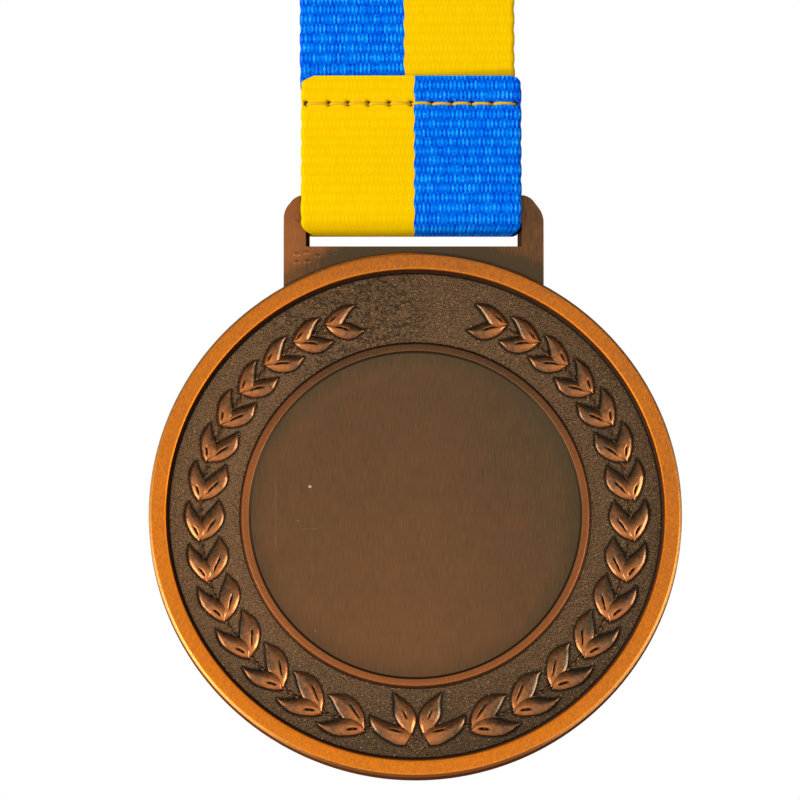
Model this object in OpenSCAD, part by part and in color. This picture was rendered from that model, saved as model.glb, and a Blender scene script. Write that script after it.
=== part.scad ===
// Cast sports medal on a woven neck ribbon, hanging as it does when it is hung up by the ribbon.
// The medal faces -Y and +Z is up. The origin is the inside of the ribbon's top bend, where the
// loop rests on a neck or a round support.

/* [Disc] */
// Diameter of the disc
disc_d = 65; // [58:0.5:72]
// Thickness of the disc at its rim
disc_t = 3; // [2.6:0.1:4]
// Width of the raised rim
rim_w = 2; // [1:0.1:3]
// Depth of the field below the rim
field_depth = 1.1; // [0.8:0.05:1.3]
// Outer diameter of the raised inner ring
ring_d = 42.8; // [40:0.1:43.4]
// Width of the raised inner ring
ring_w = 1.05; // [0.6:0.05:2]
// Height of the inner ring above the field
ring_h = 0.6; // [0.4:0.05:0.8]
// Depth of the plain centre below the inner ring
centre_depth = 0.4; // [0.2:0.05:0.5]

/* [Lug] */
// Outer width of the lug
lug_w = 31.8; // [31:0.1:34]
// Thickness of the lug
lug_t = 2; // [1.8:0.1:2.1]
// Width of the slot at the front
slot_w = 26.4; // [26.2:0.1:27]
// How much narrower the slot is at the back
slot_draft = 1; // [0:0.1:1.2]
// Height of the bar above the slot
bar_h = 3.8; // [3:0.1:3.8]
// Size of the cut at the lug's top corners
lug_corner = 2; // [1:0.1:2.2]

/* [Wreath] */
// Pairs of leaves on each branch, without the lowest pair
leaf_pairs = 14; // [10:1:14]
// Radius of the wreath's lowest leaf bases
wreath_r = 27.4; // [27:0.1:27.6]
// Height of a leaf's crown above the field
leaf_h = 0.6; // [0.3:0.05:0.8]

/* [Ribbon] */
// Width of the front flap
flap_w = 26.5; // [25.6:0.1:26.5]
// Width of the straps
strap_w = 26.2; // [25:0.1:26.4]
// Width of the fold inside the slot
fold_w = 24.2; // [22:0.1:24.4]
// Thickness of the ribbon
ribbon_t = 0.9; // [0.6:0.05:1]
// Height of the flap from the bottom of the fold
flap_h = 19.9; // [17:0.1:24]
// Radius of the ribbon's round top bend, inside
neck_r = 60; // [50:1:75]
// Drop from the inside of the top bend to the centre of the disc
hang_drop = 407; // [380:1:450]

/* [Hidden] */
$fn = 96;

disc_r = disc_d / 2;
rim_front = -1.9;
disc_back = rim_front + disc_t;
field_y = rim_front + field_depth;
ring_y = field_y - ring_h;
centre_y = ring_y + centre_depth;
edge_cut = 0.3;
rim_cove = 0.7;
rim_edge = [0.15, 0.2];
ring_slope = 0.1;

slot_bottom = disc_r + 0.9;
slot_top = slot_bottom + 2.6;
lug_top = slot_top + bar_h;
lug_foot = disc_r - 7;
bar_round = 0.85;
bar_seat = 0.3;
bar_z = slot_top + bar_h / 2;

fold_gap = 0.25;
fold_r = bar_h / 2 + fold_gap + ribbon_t / 2;
fold_bottom = bar_z - fold_r - ribbon_t / 2;
layer_gap = 0.06;
layer_y = ribbon_t + layer_gap;
flap_top = fold_bottom + flap_h;
seam_foot = bar_z + 9;
swell_top = bar_z + 12;
strap_start = flap_top + 7;
flap_shift = -0.3;
strap_shift = -0.8;
neck_line_r = neck_r + ribbon_t / 2;
neck_z = hang_drop - neck_r;
neck_y = layer_y / 2;
lean = 16;

function unit(v) = v / norm(v);
function square_to(raw, along) = unit(raw - (raw * along) * along);
function smooth(u) = let (c = min(1, max(0, u))) c * c * (3 - 2 * c);
function mix(a, b, u) = a + (b - a) * u;

// Closed skin over equal sections, with flat ends. The corners go round the section, so its second
// half is split the other way: then both sides of a twisted band have the same folds.
function skin_faces(sections, corners) = concat(
    [for (i = [0 : sections - 2], k = [0 : corners - 1], half = [0, 1])
        let (a = i * corners + k, b = i * corners + (k + 1) % corners)
        k < corners / 2
            ? (half == 0 ? [a, b + corners, b] : [a, a + corners, b + corners])
            : (half == 0 ? [a, a + corners, b] : [b, a + corners, b + corners])],
    [[for (k = [0 : corners - 1]) k]],
    [[for (k = [corners - 1 : -1 : 0]) (sections - 1) * corners + k]]);

module skin(sections) {
    polyhedron([for (s = sections) each s], skin_faces(len(sections), len(sections[0])));
}

// The ribbon's path: rows of [place, turn of the width about Z, left half-width, right half-width]

flap_half = flap_w / 2;
strap_half = strap_w / 2;
fold_half = fold_w / 2;
bow = 2.6;
turn_start = 0.1;
strap_steps = 40;
bend_steps = 26;
fold_steps = 14;
swell_steps = 7;
wide_angle = 70;
left_wide_angle = 90;

// Free end of the flap, cut slanting on the left and round on the right
// columns: distance from the top, cut on the left, cut on the right
flap_cuts = [
    [0, 1.6, 1.0],
    [0.35, 0.65, 0.3],
    [0.8, 0, 0],
];

// Distance from the middle layer: the band bulges from the seam down to the bar
function swell(z) = mix(layer_y, fold_r, smooth((swell_top - z) / (swell_top - bar_z)));

function flap_row(z, cut) = [[flap_shift, -swell(z), z], 0, flap_half - cut[0], flap_half - cut[1]];

function fold_share(a, wide) = a > 0 ? 1 : 1 - min(1, -a / wide);

function fold_row(a) = [
    [flap_shift, fold_r * sin(a), bar_z - fold_r * cos(a)],
    0,
    mix(flap_half, fold_half, fold_share(a, left_wide_angle)),
    mix(flap_half, fold_half, fold_share(a, wide_angle))];

// The band behind the flap, from the bar (u = 0) up to the seam (u = 1)
function back_row(u) =
    let (z = mix(bar_z, swell_top, u), half = mix(fold_half, strap_half, smooth(2 * u)))
    [[mix(flap_shift, strap_shift, smooth(u)), swell(z), z], 0, half, half];

// A strap from the seam (u = 0) to the round bend (u = 1), on the right (side = 1) or left (side = -1)
function strap_place(side, u) =
    let (
        start = [strap_shift, side > 0 ? layer_y : 0, strap_start],
        end = [side * neck_line_r * cos(lean), neck_y, neck_z - neck_line_r * sin(lean)],
        rise = end[2] - start[2],
        low = start + [0, 0, 0.28 * rise],
        high = end - 0.52 * rise * [side * sin(lean), 0, cos(lean)],
        v = 1 - u)
    v * v * v * start + 3 * v * v * u * low + 3 * v * u * u * high + u * u * u * end
    + [0, side * bow * pow(4 * u * v, 1.5), 0];

function strap_turn(u) = 90 * smooth((u - turn_start) / (1 - turn_start));

ribbon_rows = concat(
    [for (cut = flap_cuts) flap_row(flap_top - cut[0], [cut[1], cut[2]])],
    [for (i = [0 : swell_steps]) flap_row(mix(swell_top, bar_z, i / swell_steps), [0, 0])],
    [for (i = [1 : fold_steps]) fold_row(mix(-90, 90, i / fold_steps))],
    [for (i = [1 : swell_steps]) back_row(i / swell_steps)],
    [for (i = [0 : strap_steps - 1]) let (u = i / strap_steps)
        [strap_place(1, u), strap_turn(u), strap_half, strap_half]],
    [for (i = [0 : bend_steps]) let (a = mix(-lean, 180 + lean, i / bend_steps))
        [[neck_line_r * cos(a), neck_y, neck_z + neck_line_r * sin(a)], 90, strap_half, strap_half]],
    [for (i = [strap_steps - 1 : -1 : 0]) let (u = i / strap_steps)
        [strap_place(-1, u), 180 - strap_turn(u), strap_half, strap_half]],
    [[[strap_shift, 0, seam_foot], 180, strap_half, strap_half]]);

// Direction of the path at row i, halfway between the directions of its two neighbours
function heading(rows, i) =
    let (
        last = len(rows) - 1,
        ahead = i < last ? unit(rows[i + 1][0] - rows[i][0]) : [0, 0, 0],
        behind = i > 0 ? unit(rows[i][0] - rows[i - 1][0]) : [0, 0, 0])
    unit(ahead + behind);

selvedge = 0.2;

// Eight corners of the band's section at row i, its selvedges thinned
function band_section(rows, i) =
    let (
        row = rows[i],
        along = heading(rows, i),
        across = square_to([cos(row[1]), sin(row[1]), 0], along),
        out = cross(along, across),
        h = ribbon_t / 2,
        e = h - selvedge)
    [for (c = [[-row[2], -e], [-row[2] + selvedge, -h], [row[3] - selvedge, -h], [row[3], -e],
               [row[3], e], [row[3] - selvedge, h], [-row[2] + selvedge, h], [-row[2], e]])
        row[0] + c[0] * across + c[1] * out];

// The disc's half section: radius, place from front to back
module disc_profile() {
    field_r = disc_r - rim_w - rim_cove;
    ring_in = ring_d / 2 - ring_w;
    ring_out = ring_d / 2;
    polygon([
        [0, centre_y], [ring_in - ring_slope, centre_y], [ring_in, ring_y],
        [ring_out - ring_slope, ring_y], [ring_out + ring_slope, field_y],
        [field_r, field_y], [disc_r - rim_w - rim_edge[0], rim_front + rim_edge[1]],
        [disc_r - rim_w, rim_front], [disc_r - edge_cut, rim_front], [disc_r, rim_front + edge_cut],
        [disc_r, disc_back - edge_cut], [disc_r - edge_cut, disc_back], [0, disc_back]]);
}

// Stands a shape up that is drawn in X and Y and built up along Z, so that Z faces the front
module face_front() {
    rotate([90, 0, 0]) children();
}

module disc() {
    face_front() rotate_extrude($fn = 180) scale([1, -1]) disc_profile();
}

// Corner of the lug: rows of distance in from the side, distance down from the top
corner_points = [[0, 1.3], [0.12, 1], [0.88, 0.12], [1.25, 0]];

module lug_plate() {
    half = lug_w / 2;
    right = [for (c = corner_points) [half - c[0] * lug_corner, lug_top - c[1] * lug_corner]];
    left = [for (i = [len(right) - 1 : -1 : 0]) [-right[i][0], right[i][1]]];
    translate([0, lug_t / 2, 0]) face_front() linear_extrude(lug_t)
        polygon(concat([[-half, lug_foot], [half, lug_foot]], right, left));
}

// The slot with the space of the bar above it, wider at the front than at the back
module slot_cut() {
    past = 1;
    slope = slot_draft / lug_t / 2;
    front = slot_w / 2 + slope * past;
    back = slot_w / 2 - slot_draft / 2 - slope * past;
    reach = lug_t / 2 + past;
    translate([0, 0, slot_bottom]) linear_extrude(lug_top - slot_bottom + past)
        polygon([[-front, -reach], [front, -reach], [back, reach], [-back, reach]]);
}

// Round-edged bar that the ribbon hangs on
module bar() {
    flat_y = lug_t - 2 * bar_round;
    flat_z = bar_h - 2 * bar_round;
    length = slot_w + 2 * bar_seat;
    translate([-length / 2, 0, bar_z]) rotate([90, 0, 90]) linear_extrude(length) {
        square([flat_y, bar_h], center = true);
        square([lug_t, flat_z], center = true);
        for (sy = [-1, 1], sz = [-1, 1])
            translate([sy * flat_y / 2, sz * flat_z / 2]) circle(bar_round, $fn = 32);
    }
}

// The lug, cut off inside the rim that it is cast on
module lug() {
    difference() {
        lug_plate();
        slot_cut();
        face_front() cylinder(2 * disc_t, r = disc_r - rim_w / 2, center = true);
    }
    bar();
}

// Leaf outlines as shares of the leaf's length
// columns: along the leaf, reach of the outer edge, reach of the inner edge, share of the crown
outer_leaf = [
    [0.00, 0.01, 0.01, 0.25],
    [0.12, 0.08, 0.19, 0.75],
    [0.30, 0.14, 0.28, 1.00],
    [0.46, 0.17, 0.22, 0.95],
    [0.62, 0.18, 0.14, 0.85],
    [0.80, 0.14, 0.06, 0.60],
    [0.92, 0.07, 0.02, 0.40],
    [1.00, 0.01, 0.01, 0.25],
];
inner_leaf = [
    [0.00, 0.02, 0.04, 0.25],
    [0.15, 0.08, 0.17, 0.70],
    [0.36, 0.13, 0.26, 1.00],
    [0.55, 0.12, 0.29, 0.95],
    [0.75, 0.06, 0.24, 0.75],
    [0.90, 0.01, 0.13, 0.50],
    [1.00, 0.00, 0.02, 0.25],
];
lowest_outer_leaf = [
    [0.00, 0.18, 0.18, 0.60],
    [0.15, 0.27, 0.24, 0.90],
    [0.35, 0.30, 0.15, 1.00],
    [0.55, 0.30, 0.09, 0.95],
    [0.75, 0.25, 0.04, 0.80],
    [0.92, 0.14, 0.02, 0.50],
    [1.00, 0.02, 0.02, 0.25],
];
lowest_inner_leaf = [
    [0.00, 0.04, 0.10, 0.40],
    [0.15, 0.09, 0.22, 0.80],
    [0.35, 0.15, 0.29, 1.00],
    [0.56, 0.15, 0.26, 0.95],
    [0.80, 0.06, 0.14, 0.70],
    [1.00, 0.01, 0.02, 0.25],
];
outer_length = 4.95;
inner_length = 5.2;
outer_turn = 7;
inner_turn = -31;
leaf_sink = 0.3;
edge_lift = 0.15;

// A leaf that starts at the origin and lies along X, raised along Z from the field at zero
module leaf(outline, length, height) {
    skin([for (row = outline)
        let (
            x = row[0] * length,
            above = row[1] * length,
            below = -row[2] * length,
            crest = mix(below, above, 0.5),
            lift = edge_lift * row[3])
        [[x, below, -leaf_sink], [x, above, -leaf_sink], [x, above, lift],
         [x, crest, height * row[3]], [x, below, lift]]]);
}

// Places on a branch: pair k counts from the bottom, angles are from straight down
first_angle = 13;
last_angle = 154.9;
angle_swell = 4.5;
tip_r = 26.1;
low_size = 1.14;
tip_size = 0.9;

function share(k) = (k - 1) / (leaf_pairs - 1);
function pair_angle(k) = mix(first_angle, last_angle, share(k)) + angle_swell * sin(180 * share(k));
function pair_size(k) = mix(low_size, tip_size, smooth(share(k)));
function pair_radius(k) = mix(wreath_r, tip_r, pow(share(k), 0.6));

// Puts a shape on the right branch: X along the branch, Y outwards, Z up from the field
module on_branch(angle, r) {
    translate([0, field_y, 0]) face_front() rotate(angle - 90) translate([r, 0, 0]) rotate(90)
        mirror([0, 1, 0]) children();
}

module leaf_pair(size) {
    rotate(outer_turn) leaf(outer_leaf, outer_length * size, leaf_h);
    translate([0.2, -0.25, 0]) rotate(inner_turn) leaf(inner_leaf, inner_length * size, 0.93 * leaf_h);
}

// The pair at the foot of the branch: one leaf lies along the rim, one stands up
module lowest_pair() {
    translate([0, 0.1, 0]) rotate(-23.5) leaf(lowest_outer_leaf, outer_length, leaf_h);
    translate([-0.2, -0.75, 0]) rotate(-66.5) leaf(lowest_inner_leaf, outer_length, 0.95 * leaf_h);
}

// Round stem under the leaves, on a circle set a little below the disc's centre
module stem() {
    stem_r = 26.2;
    stem_drop = 0.6;
    stem_wire = 0.26;
    from = 9;
    translate([0, field_y, -stem_drop]) face_front() rotate(from - 90)
        rotate_extrude(angle = last_angle - from, $fn = 96) translate([stem_r, 0])
            circle(stem_wire, $fn = 16);
}

module branch() {
    stem();
    on_branch(2.6, wreath_r) lowest_pair();
    for (k = [1 : leaf_pairs])
        on_branch(pair_angle(k), pair_radius(k)) leaf_pair(pair_size(k));
}

// Low pointed plate where the two stems meet
module stem_foot() {
    translate([0, field_y + 0.2, 0]) face_front() linear_extrude(0.38)
        polygon([[-1.3, -28.2], [0, -29.6], [1.3, -28.2], [0.8, -27.2], [-0.8, -27.2]]);
}

// Moves from the disc's centre, where the part is drawn, to the origin at the ribbon's top bend
module hang() {
    translate([0, 0, -hang_drop]) children();
}

module medal() {
    color("sienna") hang() {
        disc();
        lug();
        stem_foot();
        branch();
        mirror([1, 0, 0]) branch();
    }
}

module ribbon() {
    color("royalblue") hang()
        skin([for (i = [0 : len(ribbon_rows) - 1]) band_section(ribbon_rows, i)]);
}

medal();
ribbon();
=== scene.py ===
"""Looks of the cast sports medal on its woven neck ribbon.

The part's own frame is kept: the medal faces -Y, +Z is up and the origin is the inside of the
ribbon's top bend. Shapes are drawn in millimetres round the centre of the disc. The medal is drawn
face up, with X to the right, Y up and Z out of the face, and the ribbon as it hangs. Datum places
both in the part's frame.
"""

import bisect
import logging
import math
from dataclasses import dataclass
from enum import Enum, IntEnum
from typing import Callable, Sequence

import bmesh
import bpy
from mathutils import Matrix, Vector, kdtree, noise
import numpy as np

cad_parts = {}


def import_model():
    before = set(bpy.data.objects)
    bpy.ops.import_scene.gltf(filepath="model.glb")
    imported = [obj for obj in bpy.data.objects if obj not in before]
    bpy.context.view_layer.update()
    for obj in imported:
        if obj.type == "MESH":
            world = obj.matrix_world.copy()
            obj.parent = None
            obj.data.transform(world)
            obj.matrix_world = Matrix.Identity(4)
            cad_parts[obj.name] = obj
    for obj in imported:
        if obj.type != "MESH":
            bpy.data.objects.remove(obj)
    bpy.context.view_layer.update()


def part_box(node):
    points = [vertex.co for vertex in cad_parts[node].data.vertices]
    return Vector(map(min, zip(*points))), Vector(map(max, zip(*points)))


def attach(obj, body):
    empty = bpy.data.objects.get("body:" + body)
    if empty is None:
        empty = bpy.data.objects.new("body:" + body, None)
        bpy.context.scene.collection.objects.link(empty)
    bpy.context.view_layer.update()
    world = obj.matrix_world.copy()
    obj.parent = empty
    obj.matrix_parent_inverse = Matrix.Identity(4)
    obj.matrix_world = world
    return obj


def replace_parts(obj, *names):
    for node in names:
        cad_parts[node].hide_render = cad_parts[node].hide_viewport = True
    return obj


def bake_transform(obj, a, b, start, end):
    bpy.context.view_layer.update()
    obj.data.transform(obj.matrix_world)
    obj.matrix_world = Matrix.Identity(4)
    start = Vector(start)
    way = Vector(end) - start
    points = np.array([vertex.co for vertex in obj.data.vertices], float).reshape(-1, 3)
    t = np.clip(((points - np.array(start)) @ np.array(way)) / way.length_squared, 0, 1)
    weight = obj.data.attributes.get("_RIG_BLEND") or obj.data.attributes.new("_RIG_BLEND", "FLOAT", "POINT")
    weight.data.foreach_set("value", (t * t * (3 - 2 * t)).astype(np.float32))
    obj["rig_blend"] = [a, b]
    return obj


LOG = logging.getLogger("medal")
MM = 0.001

Socket = bpy.types.NodeSocket
Colour = tuple[float, float, float]
Row = tuple[float, ...]


class Body(Enum):
    """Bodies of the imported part."""

    MEDAL = "medal"
    RIBBON = "ribbon"


class Slot(Enum):
    """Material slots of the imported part."""

    BRONZE = "cast_bronze"
    CLOTH = "woven_ribbon"


class Surface(Enum):
    """What the skin of a bronze surface is like."""

    SATIN = "satin"
    BRUSHED = "brushed"
    CAST = "cast"
    GLOSSY = "glossy"


class Axis(Enum):
    """Directions in the medal's face: the parts of a vector, and out from the disc's centre."""

    ACROSS = 0
    UP = 2
    OUT = 3


class Zone(IntEnum):
    """Stretches of the disc's section, each with a finish of its own."""

    CENTRE = 0
    RING = 1
    FIELD = 2
    RIM = 3
    SIDE = 4
    BACK = 5
    WALL = 6
    EDGE = 7


def screen(red: int, green: int, blue: int) -> Colour:
    """Linear colour of a colour that is named as it shows on a screen.

    Args:
        red: Red from 0 to 255.
        green: Green from 0 to 255.
        blue: Blue from 0 to 255.

    Returns:
        The colour's three linear shares.
    """
    def linear(level: int) -> float:
        """One linear share."""
        share = level / 255
        return share / 12.92 if share <= 0.04045 else ((share + 0.055) / 1.055) ** 2.4

    return linear(red), linear(green), linear(blue)


def smooth(share: float) -> float:
    """Eases a share in and out between 0 and 1."""
    share = min(1.0, max(0.0, share))
    return share * share * (3 - 2 * share)


def mix(low: float, high: float, share: float) -> float:
    """Value between low and high."""
    return low + (high - low) * share


def squeezed(value: float, limit: float) -> float:
    """Keeps a value within a limit on both sides, but for a hundredth of what is past it."""
    return math.copysign(min(abs(value), limit + 0.01 * (abs(value) - limit)), value)


def read_rows(rows: Sequence[Row], place: float) -> list[float]:
    """Reads a table of rows at any place on a smooth curve through them.

    Args:
        rows: Rows that start with their place, in rising order.
        place: Place to read at.

    Returns:
        The row's values at that place, without the place itself.
    """
    at = min(max(bisect.bisect_right([row[0] for row in rows], place) - 1, 0), len(rows) - 2)
    before, here, after, beyond = (rows[min(max(at + k, 0), len(rows) - 1)] for k in (-1, 0, 1, 2))
    gap = after[0] - here[0]
    u = (place - here[0]) / gap
    values = []
    for a, b, c, d in zip(before[1:], here[1:], after[1:], beyond[1:]):
        left = (c - a) * gap / max(after[0] - before[0], 1e-9)
        right = (d - b) * gap / max(beyond[0] - here[0], 1e-9)
        values.append(
            (2 * u**3 - 3 * u**2 + 1) * b + (u**3 - 2 * u**2 + u) * left
            + (3 * u**2 - 2 * u**3) * c + (u**3 - u**2) * right)
    return values


def wear_layers(bm: bmesh.types.BMesh) -> tuple[bmesh.types.BMLayerItem, bmesh.types.BMLayerItem]:
    """Adds the values that a bronze finish reads: where it is polished, less so where shade is painted on a
    leaf's darker side, and where it is a crevice that gets painted shade.
    """
    polish_and_shade, crevice = (bm.verts.layers.float.new(key) for key in ("polish_and_shade", "crevice"))
    return polish_and_shade, crevice


def open_edges(bm: bmesh.types.BMesh) -> list[bmesh.types.BMEdge]:
    """Edges with a face on one side only."""
    return [edge for edge in bm.edges if edge.is_boundary]


def close_tube(bm: bmesh.types.BMesh) -> None:
    """Joins the long seam of a grid that is wrapped into a tube, and closes the tube's ends."""
    bmesh.ops.remove_doubles(bm, verts=bm.verts, dist=1e-4)
    bmesh.ops.holes_fill(bm, edges=open_edges(bm), sides=0)
    bmesh.ops.recalc_face_normals(bm, faces=bm.faces)


def grid_place(vert: bmesh.types.BMVert, rows: int, columns: int) -> tuple[int, int]:
    """Row and column of a vertex of a grid from -1 to 1 that is still flat."""
    return round((vert.co.x + 1) / 2 * rows), round((vert.co.y + 1) / 2 * columns)


def fill_ramp(ramp: bpy.types.ColorRamp, stops: Sequence[tuple[float, Colour]]) -> None:
    """Gives a colour ramp its stops."""
    while len(ramp.elements) < len(stops):
        ramp.elements.new(0.5)
    for element, (position, colour) in zip(ramp.elements, stops):
        element.position = position
        element.color = (*colour, 1.0)


def put_in_scene(name: str, data: bpy.types.ID) -> bpy.types.Object:
    """Makes an object from its data and puts it in the scene."""
    made = bpy.data.objects.new(name, data)
    bpy.context.scene.collection.objects.link(made)
    return made


def look_along(made: bpy.types.Object, heading: Vector) -> None:
    """Turns a camera or a lamp to look along a direction, with its top up."""
    made.rotation_mode = "QUATERNION"
    made.rotation_quaternion = heading.to_track_quat("-Z", "Y")


@dataclass(frozen=True)
class Datum:
    """The disc's place and the medal's outer sizes in millimetres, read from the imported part."""

    centre_z: float
    disc_r: float
    front: float
    back: float
    lug_top: float

    @classmethod
    def from_frame(cls) -> "Datum":
        """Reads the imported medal's box."""
        low, high = (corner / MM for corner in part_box("medal"))
        disc_r = (high.x - low.x) / 2
        centre_z = low.z + disc_r
        return cls(centre_z, disc_r, -low.y, -high.y, high.z - centre_z)

    def hanging(self) -> Matrix:
        """Matrix from millimetres round the disc's centre to the part's frame."""
        return Matrix.Translation((0, 0, self.centre_z * MM)) @ Matrix.Scale(MM, 4)

    def face_up(self) -> Matrix:
        """Matrix from the face-up drawing of the medal to the part's frame."""
        return self.hanging() @ Matrix.Rotation(math.radians(90), 4, "X")


class Shade:
    """Builds the nodes of one material round a Principled shader."""

    def __init__(self, name: str, datum: Datum) -> None:
        """Starts an empty material.

        Args:
            name: The material's name.
            datum: Where the disc's centre lies.
        """
        self.material = bpy.data.materials.new(name)
        self.material.use_nodes = True
        self.tree = self.material.node_tree
        self.tree.nodes.clear()
        self.shader = self.node("ShaderNodeBsdfPrincipled")
        output = self.node("ShaderNodeOutputMaterial")
        self.tree.links.new(self.shader.outputs["BSDF"], output.inputs["Surface"])
        self.datum = datum

    def node(self, kind: str, **settings: object) -> bpy.types.Node:
        """Adds a node with these settings."""
        made = self.tree.nodes.new(kind)
        for key, value in settings.items():
            setattr(made, key, value)
        return made

    def feed(self, socket: Socket, value: object) -> None:
        """Links a socket to an input, or sets the input to a plain value."""
        if isinstance(value, bpy.types.NodeSocket):
            self.tree.links.new(value, socket)
        elif isinstance(value, tuple) and socket.type == "RGBA":
            socket.default_value = (*value, 1.0)
        else:
            socket.default_value = value

    def set(self, **values: object) -> None:
        """Sets the shader's inputs, named with an underscore for each blank."""
        for key, value in values.items():
            self.feed(self.shader.inputs[key.replace("_", " ")], value)

    def math(self, operation: str, *values: object, clamp: bool = False) -> Socket:
        """Adds one sum.

        Args:
            operation: The math node's operation.
            values: Its inputs, each a socket or a number.
            clamp: Whether the result stays from 0 to 1.

        Returns:
            The result's socket.
        """
        made = self.node("ShaderNodeMath", operation=operation, use_clamp=clamp)
        for socket, value in zip(made.inputs, values):
            self.feed(socket, value)
        return made.outputs[0]

    def span(self, value: Socket, low: float, high: float, to_low: float = 0.0,
             to_high: float = 1.0) -> Socket:
        """Maps low to to_low and high to to_high, and clamps between them."""
        made = self.node("ShaderNodeMapRange")
        for socket, fed in zip(made.inputs, (value, low, high, to_low, to_high)):
            self.feed(socket, fed)
        return made.outputs[0]

    def blend(self, share: object, first: object, second: object) -> Socket:
        """Mixes two colours."""
        made = self.node("ShaderNodeMix", data_type="RGBA")
        for index, value in ((0, share), (6, first), (7, second)):
            self.feed(made.inputs[index], value)
        return made.outputs[2]

    def ramp(self, value: Socket, stops: Sequence[tuple[float, Colour]]) -> Socket:
        """Turns a value into a colour between stops."""
        made = self.node("ShaderNodeValToRGB")
        fill_ramp(made.color_ramp, stops)
        self.feed(made.inputs[0], value)
        return made.outputs[0]

    def attribute(self, name: str) -> Socket:
        """Reads a value that the mesh carries."""
        return self.node("ShaderNodeAttribute", attribute_name=name).outputs["Fac"]

    def place(self, stretch: tuple[float, float, float] = (1, 1, 1)) -> Socket:
        """Object coordinates in millimetres from the disc's centre, times a stretch."""
        source = self.node("ShaderNodeTexCoord").outputs["Object"]
        made = self.node("ShaderNodeMapping")
        made.inputs["Scale"].default_value = [k / MM for k in stretch]
        made.inputs["Location"].default_value = (0, 0, -self.datum.centre_z * stretch[2])
        self.feed(made.inputs["Vector"], source)
        return made.outputs[0]

    def split(self, vector: Socket) -> tuple[Socket, Socket, Socket]:
        """The three parts of a vector."""
        made = self.node("ShaderNodeSeparateXYZ")
        self.feed(made.inputs[0], vector)
        return tuple(made.outputs)

    def length(self, vector: Socket) -> Socket:
        """The length of a vector."""
        made = self.node("ShaderNodeVectorMath", operation="LENGTH")
        self.feed(made.inputs[0], vector)
        return made.outputs["Value"]

    def join(self, *parts: object) -> Socket:
        """A vector from up to three parts."""
        made = self.node("ShaderNodeCombineXYZ")
        for socket, value in zip(made.inputs, parts):
            self.feed(socket, value)
        return made.outputs[0]

    def noise(self, vector: Socket, scale: float, detail: float = 2.0, rough: float = 0.5) -> Socket:
        """Cloudy noise from 0 to 1 with scale features for each millimetre."""
        made = self.node("ShaderNodeTexNoise")
        for key, value in (("Vector", vector), ("Scale", scale), ("Detail", detail),
                           ("Roughness", rough)):
            self.feed(made.inputs[key], value)
        return made.outputs["Fac"]

    def cells(self, vector: Socket, scale: float) -> Socket:
        """Distance to the nearest of many scattered points."""
        made = self.node("ShaderNodeTexVoronoi")
        self.feed(made.inputs["Vector"], vector)
        self.feed(made.inputs["Scale"], scale)
        return made.outputs["Distance"]

    def random(self, vector: Socket) -> Socket:
        """A random value for each whole-number vector."""
        made = self.node("ShaderNodeTexWhiteNoise", noise_dimensions="3D")
        self.feed(made.inputs["Vector"], vector)
        return made.outputs["Value"]

    def bump(self, height: Socket, depth: float, strength: float = 1.0) -> None:
        """Dents the surface by a height from 0 to 1 times a depth in millimetres."""
        made = self.node("ShaderNodeBump")
        for key, value in (("Height", height), ("Distance", depth * MM), ("Strength", strength)):
            self.feed(made.inputs[key], value)
        self.feed(self.shader.inputs["Normal"], made.outputs[0])


@dataclass(frozen=True)
class Fade:
    """A stretch of the medal's face over which the rubbed-off share gets smaller, so that the colour is
    painted darker there: painted light and shade across the face.

    Attributes:
        axis: Direction that it runs in.
        start: Where it starts, in millimetres from the disc's centre.
        stop: Where it ends.
        lost: What the rubbed-off share loses from its start to its end, as painted shade.
    """

    axis: Axis
    start: float
    stop: float
    lost: float


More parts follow.
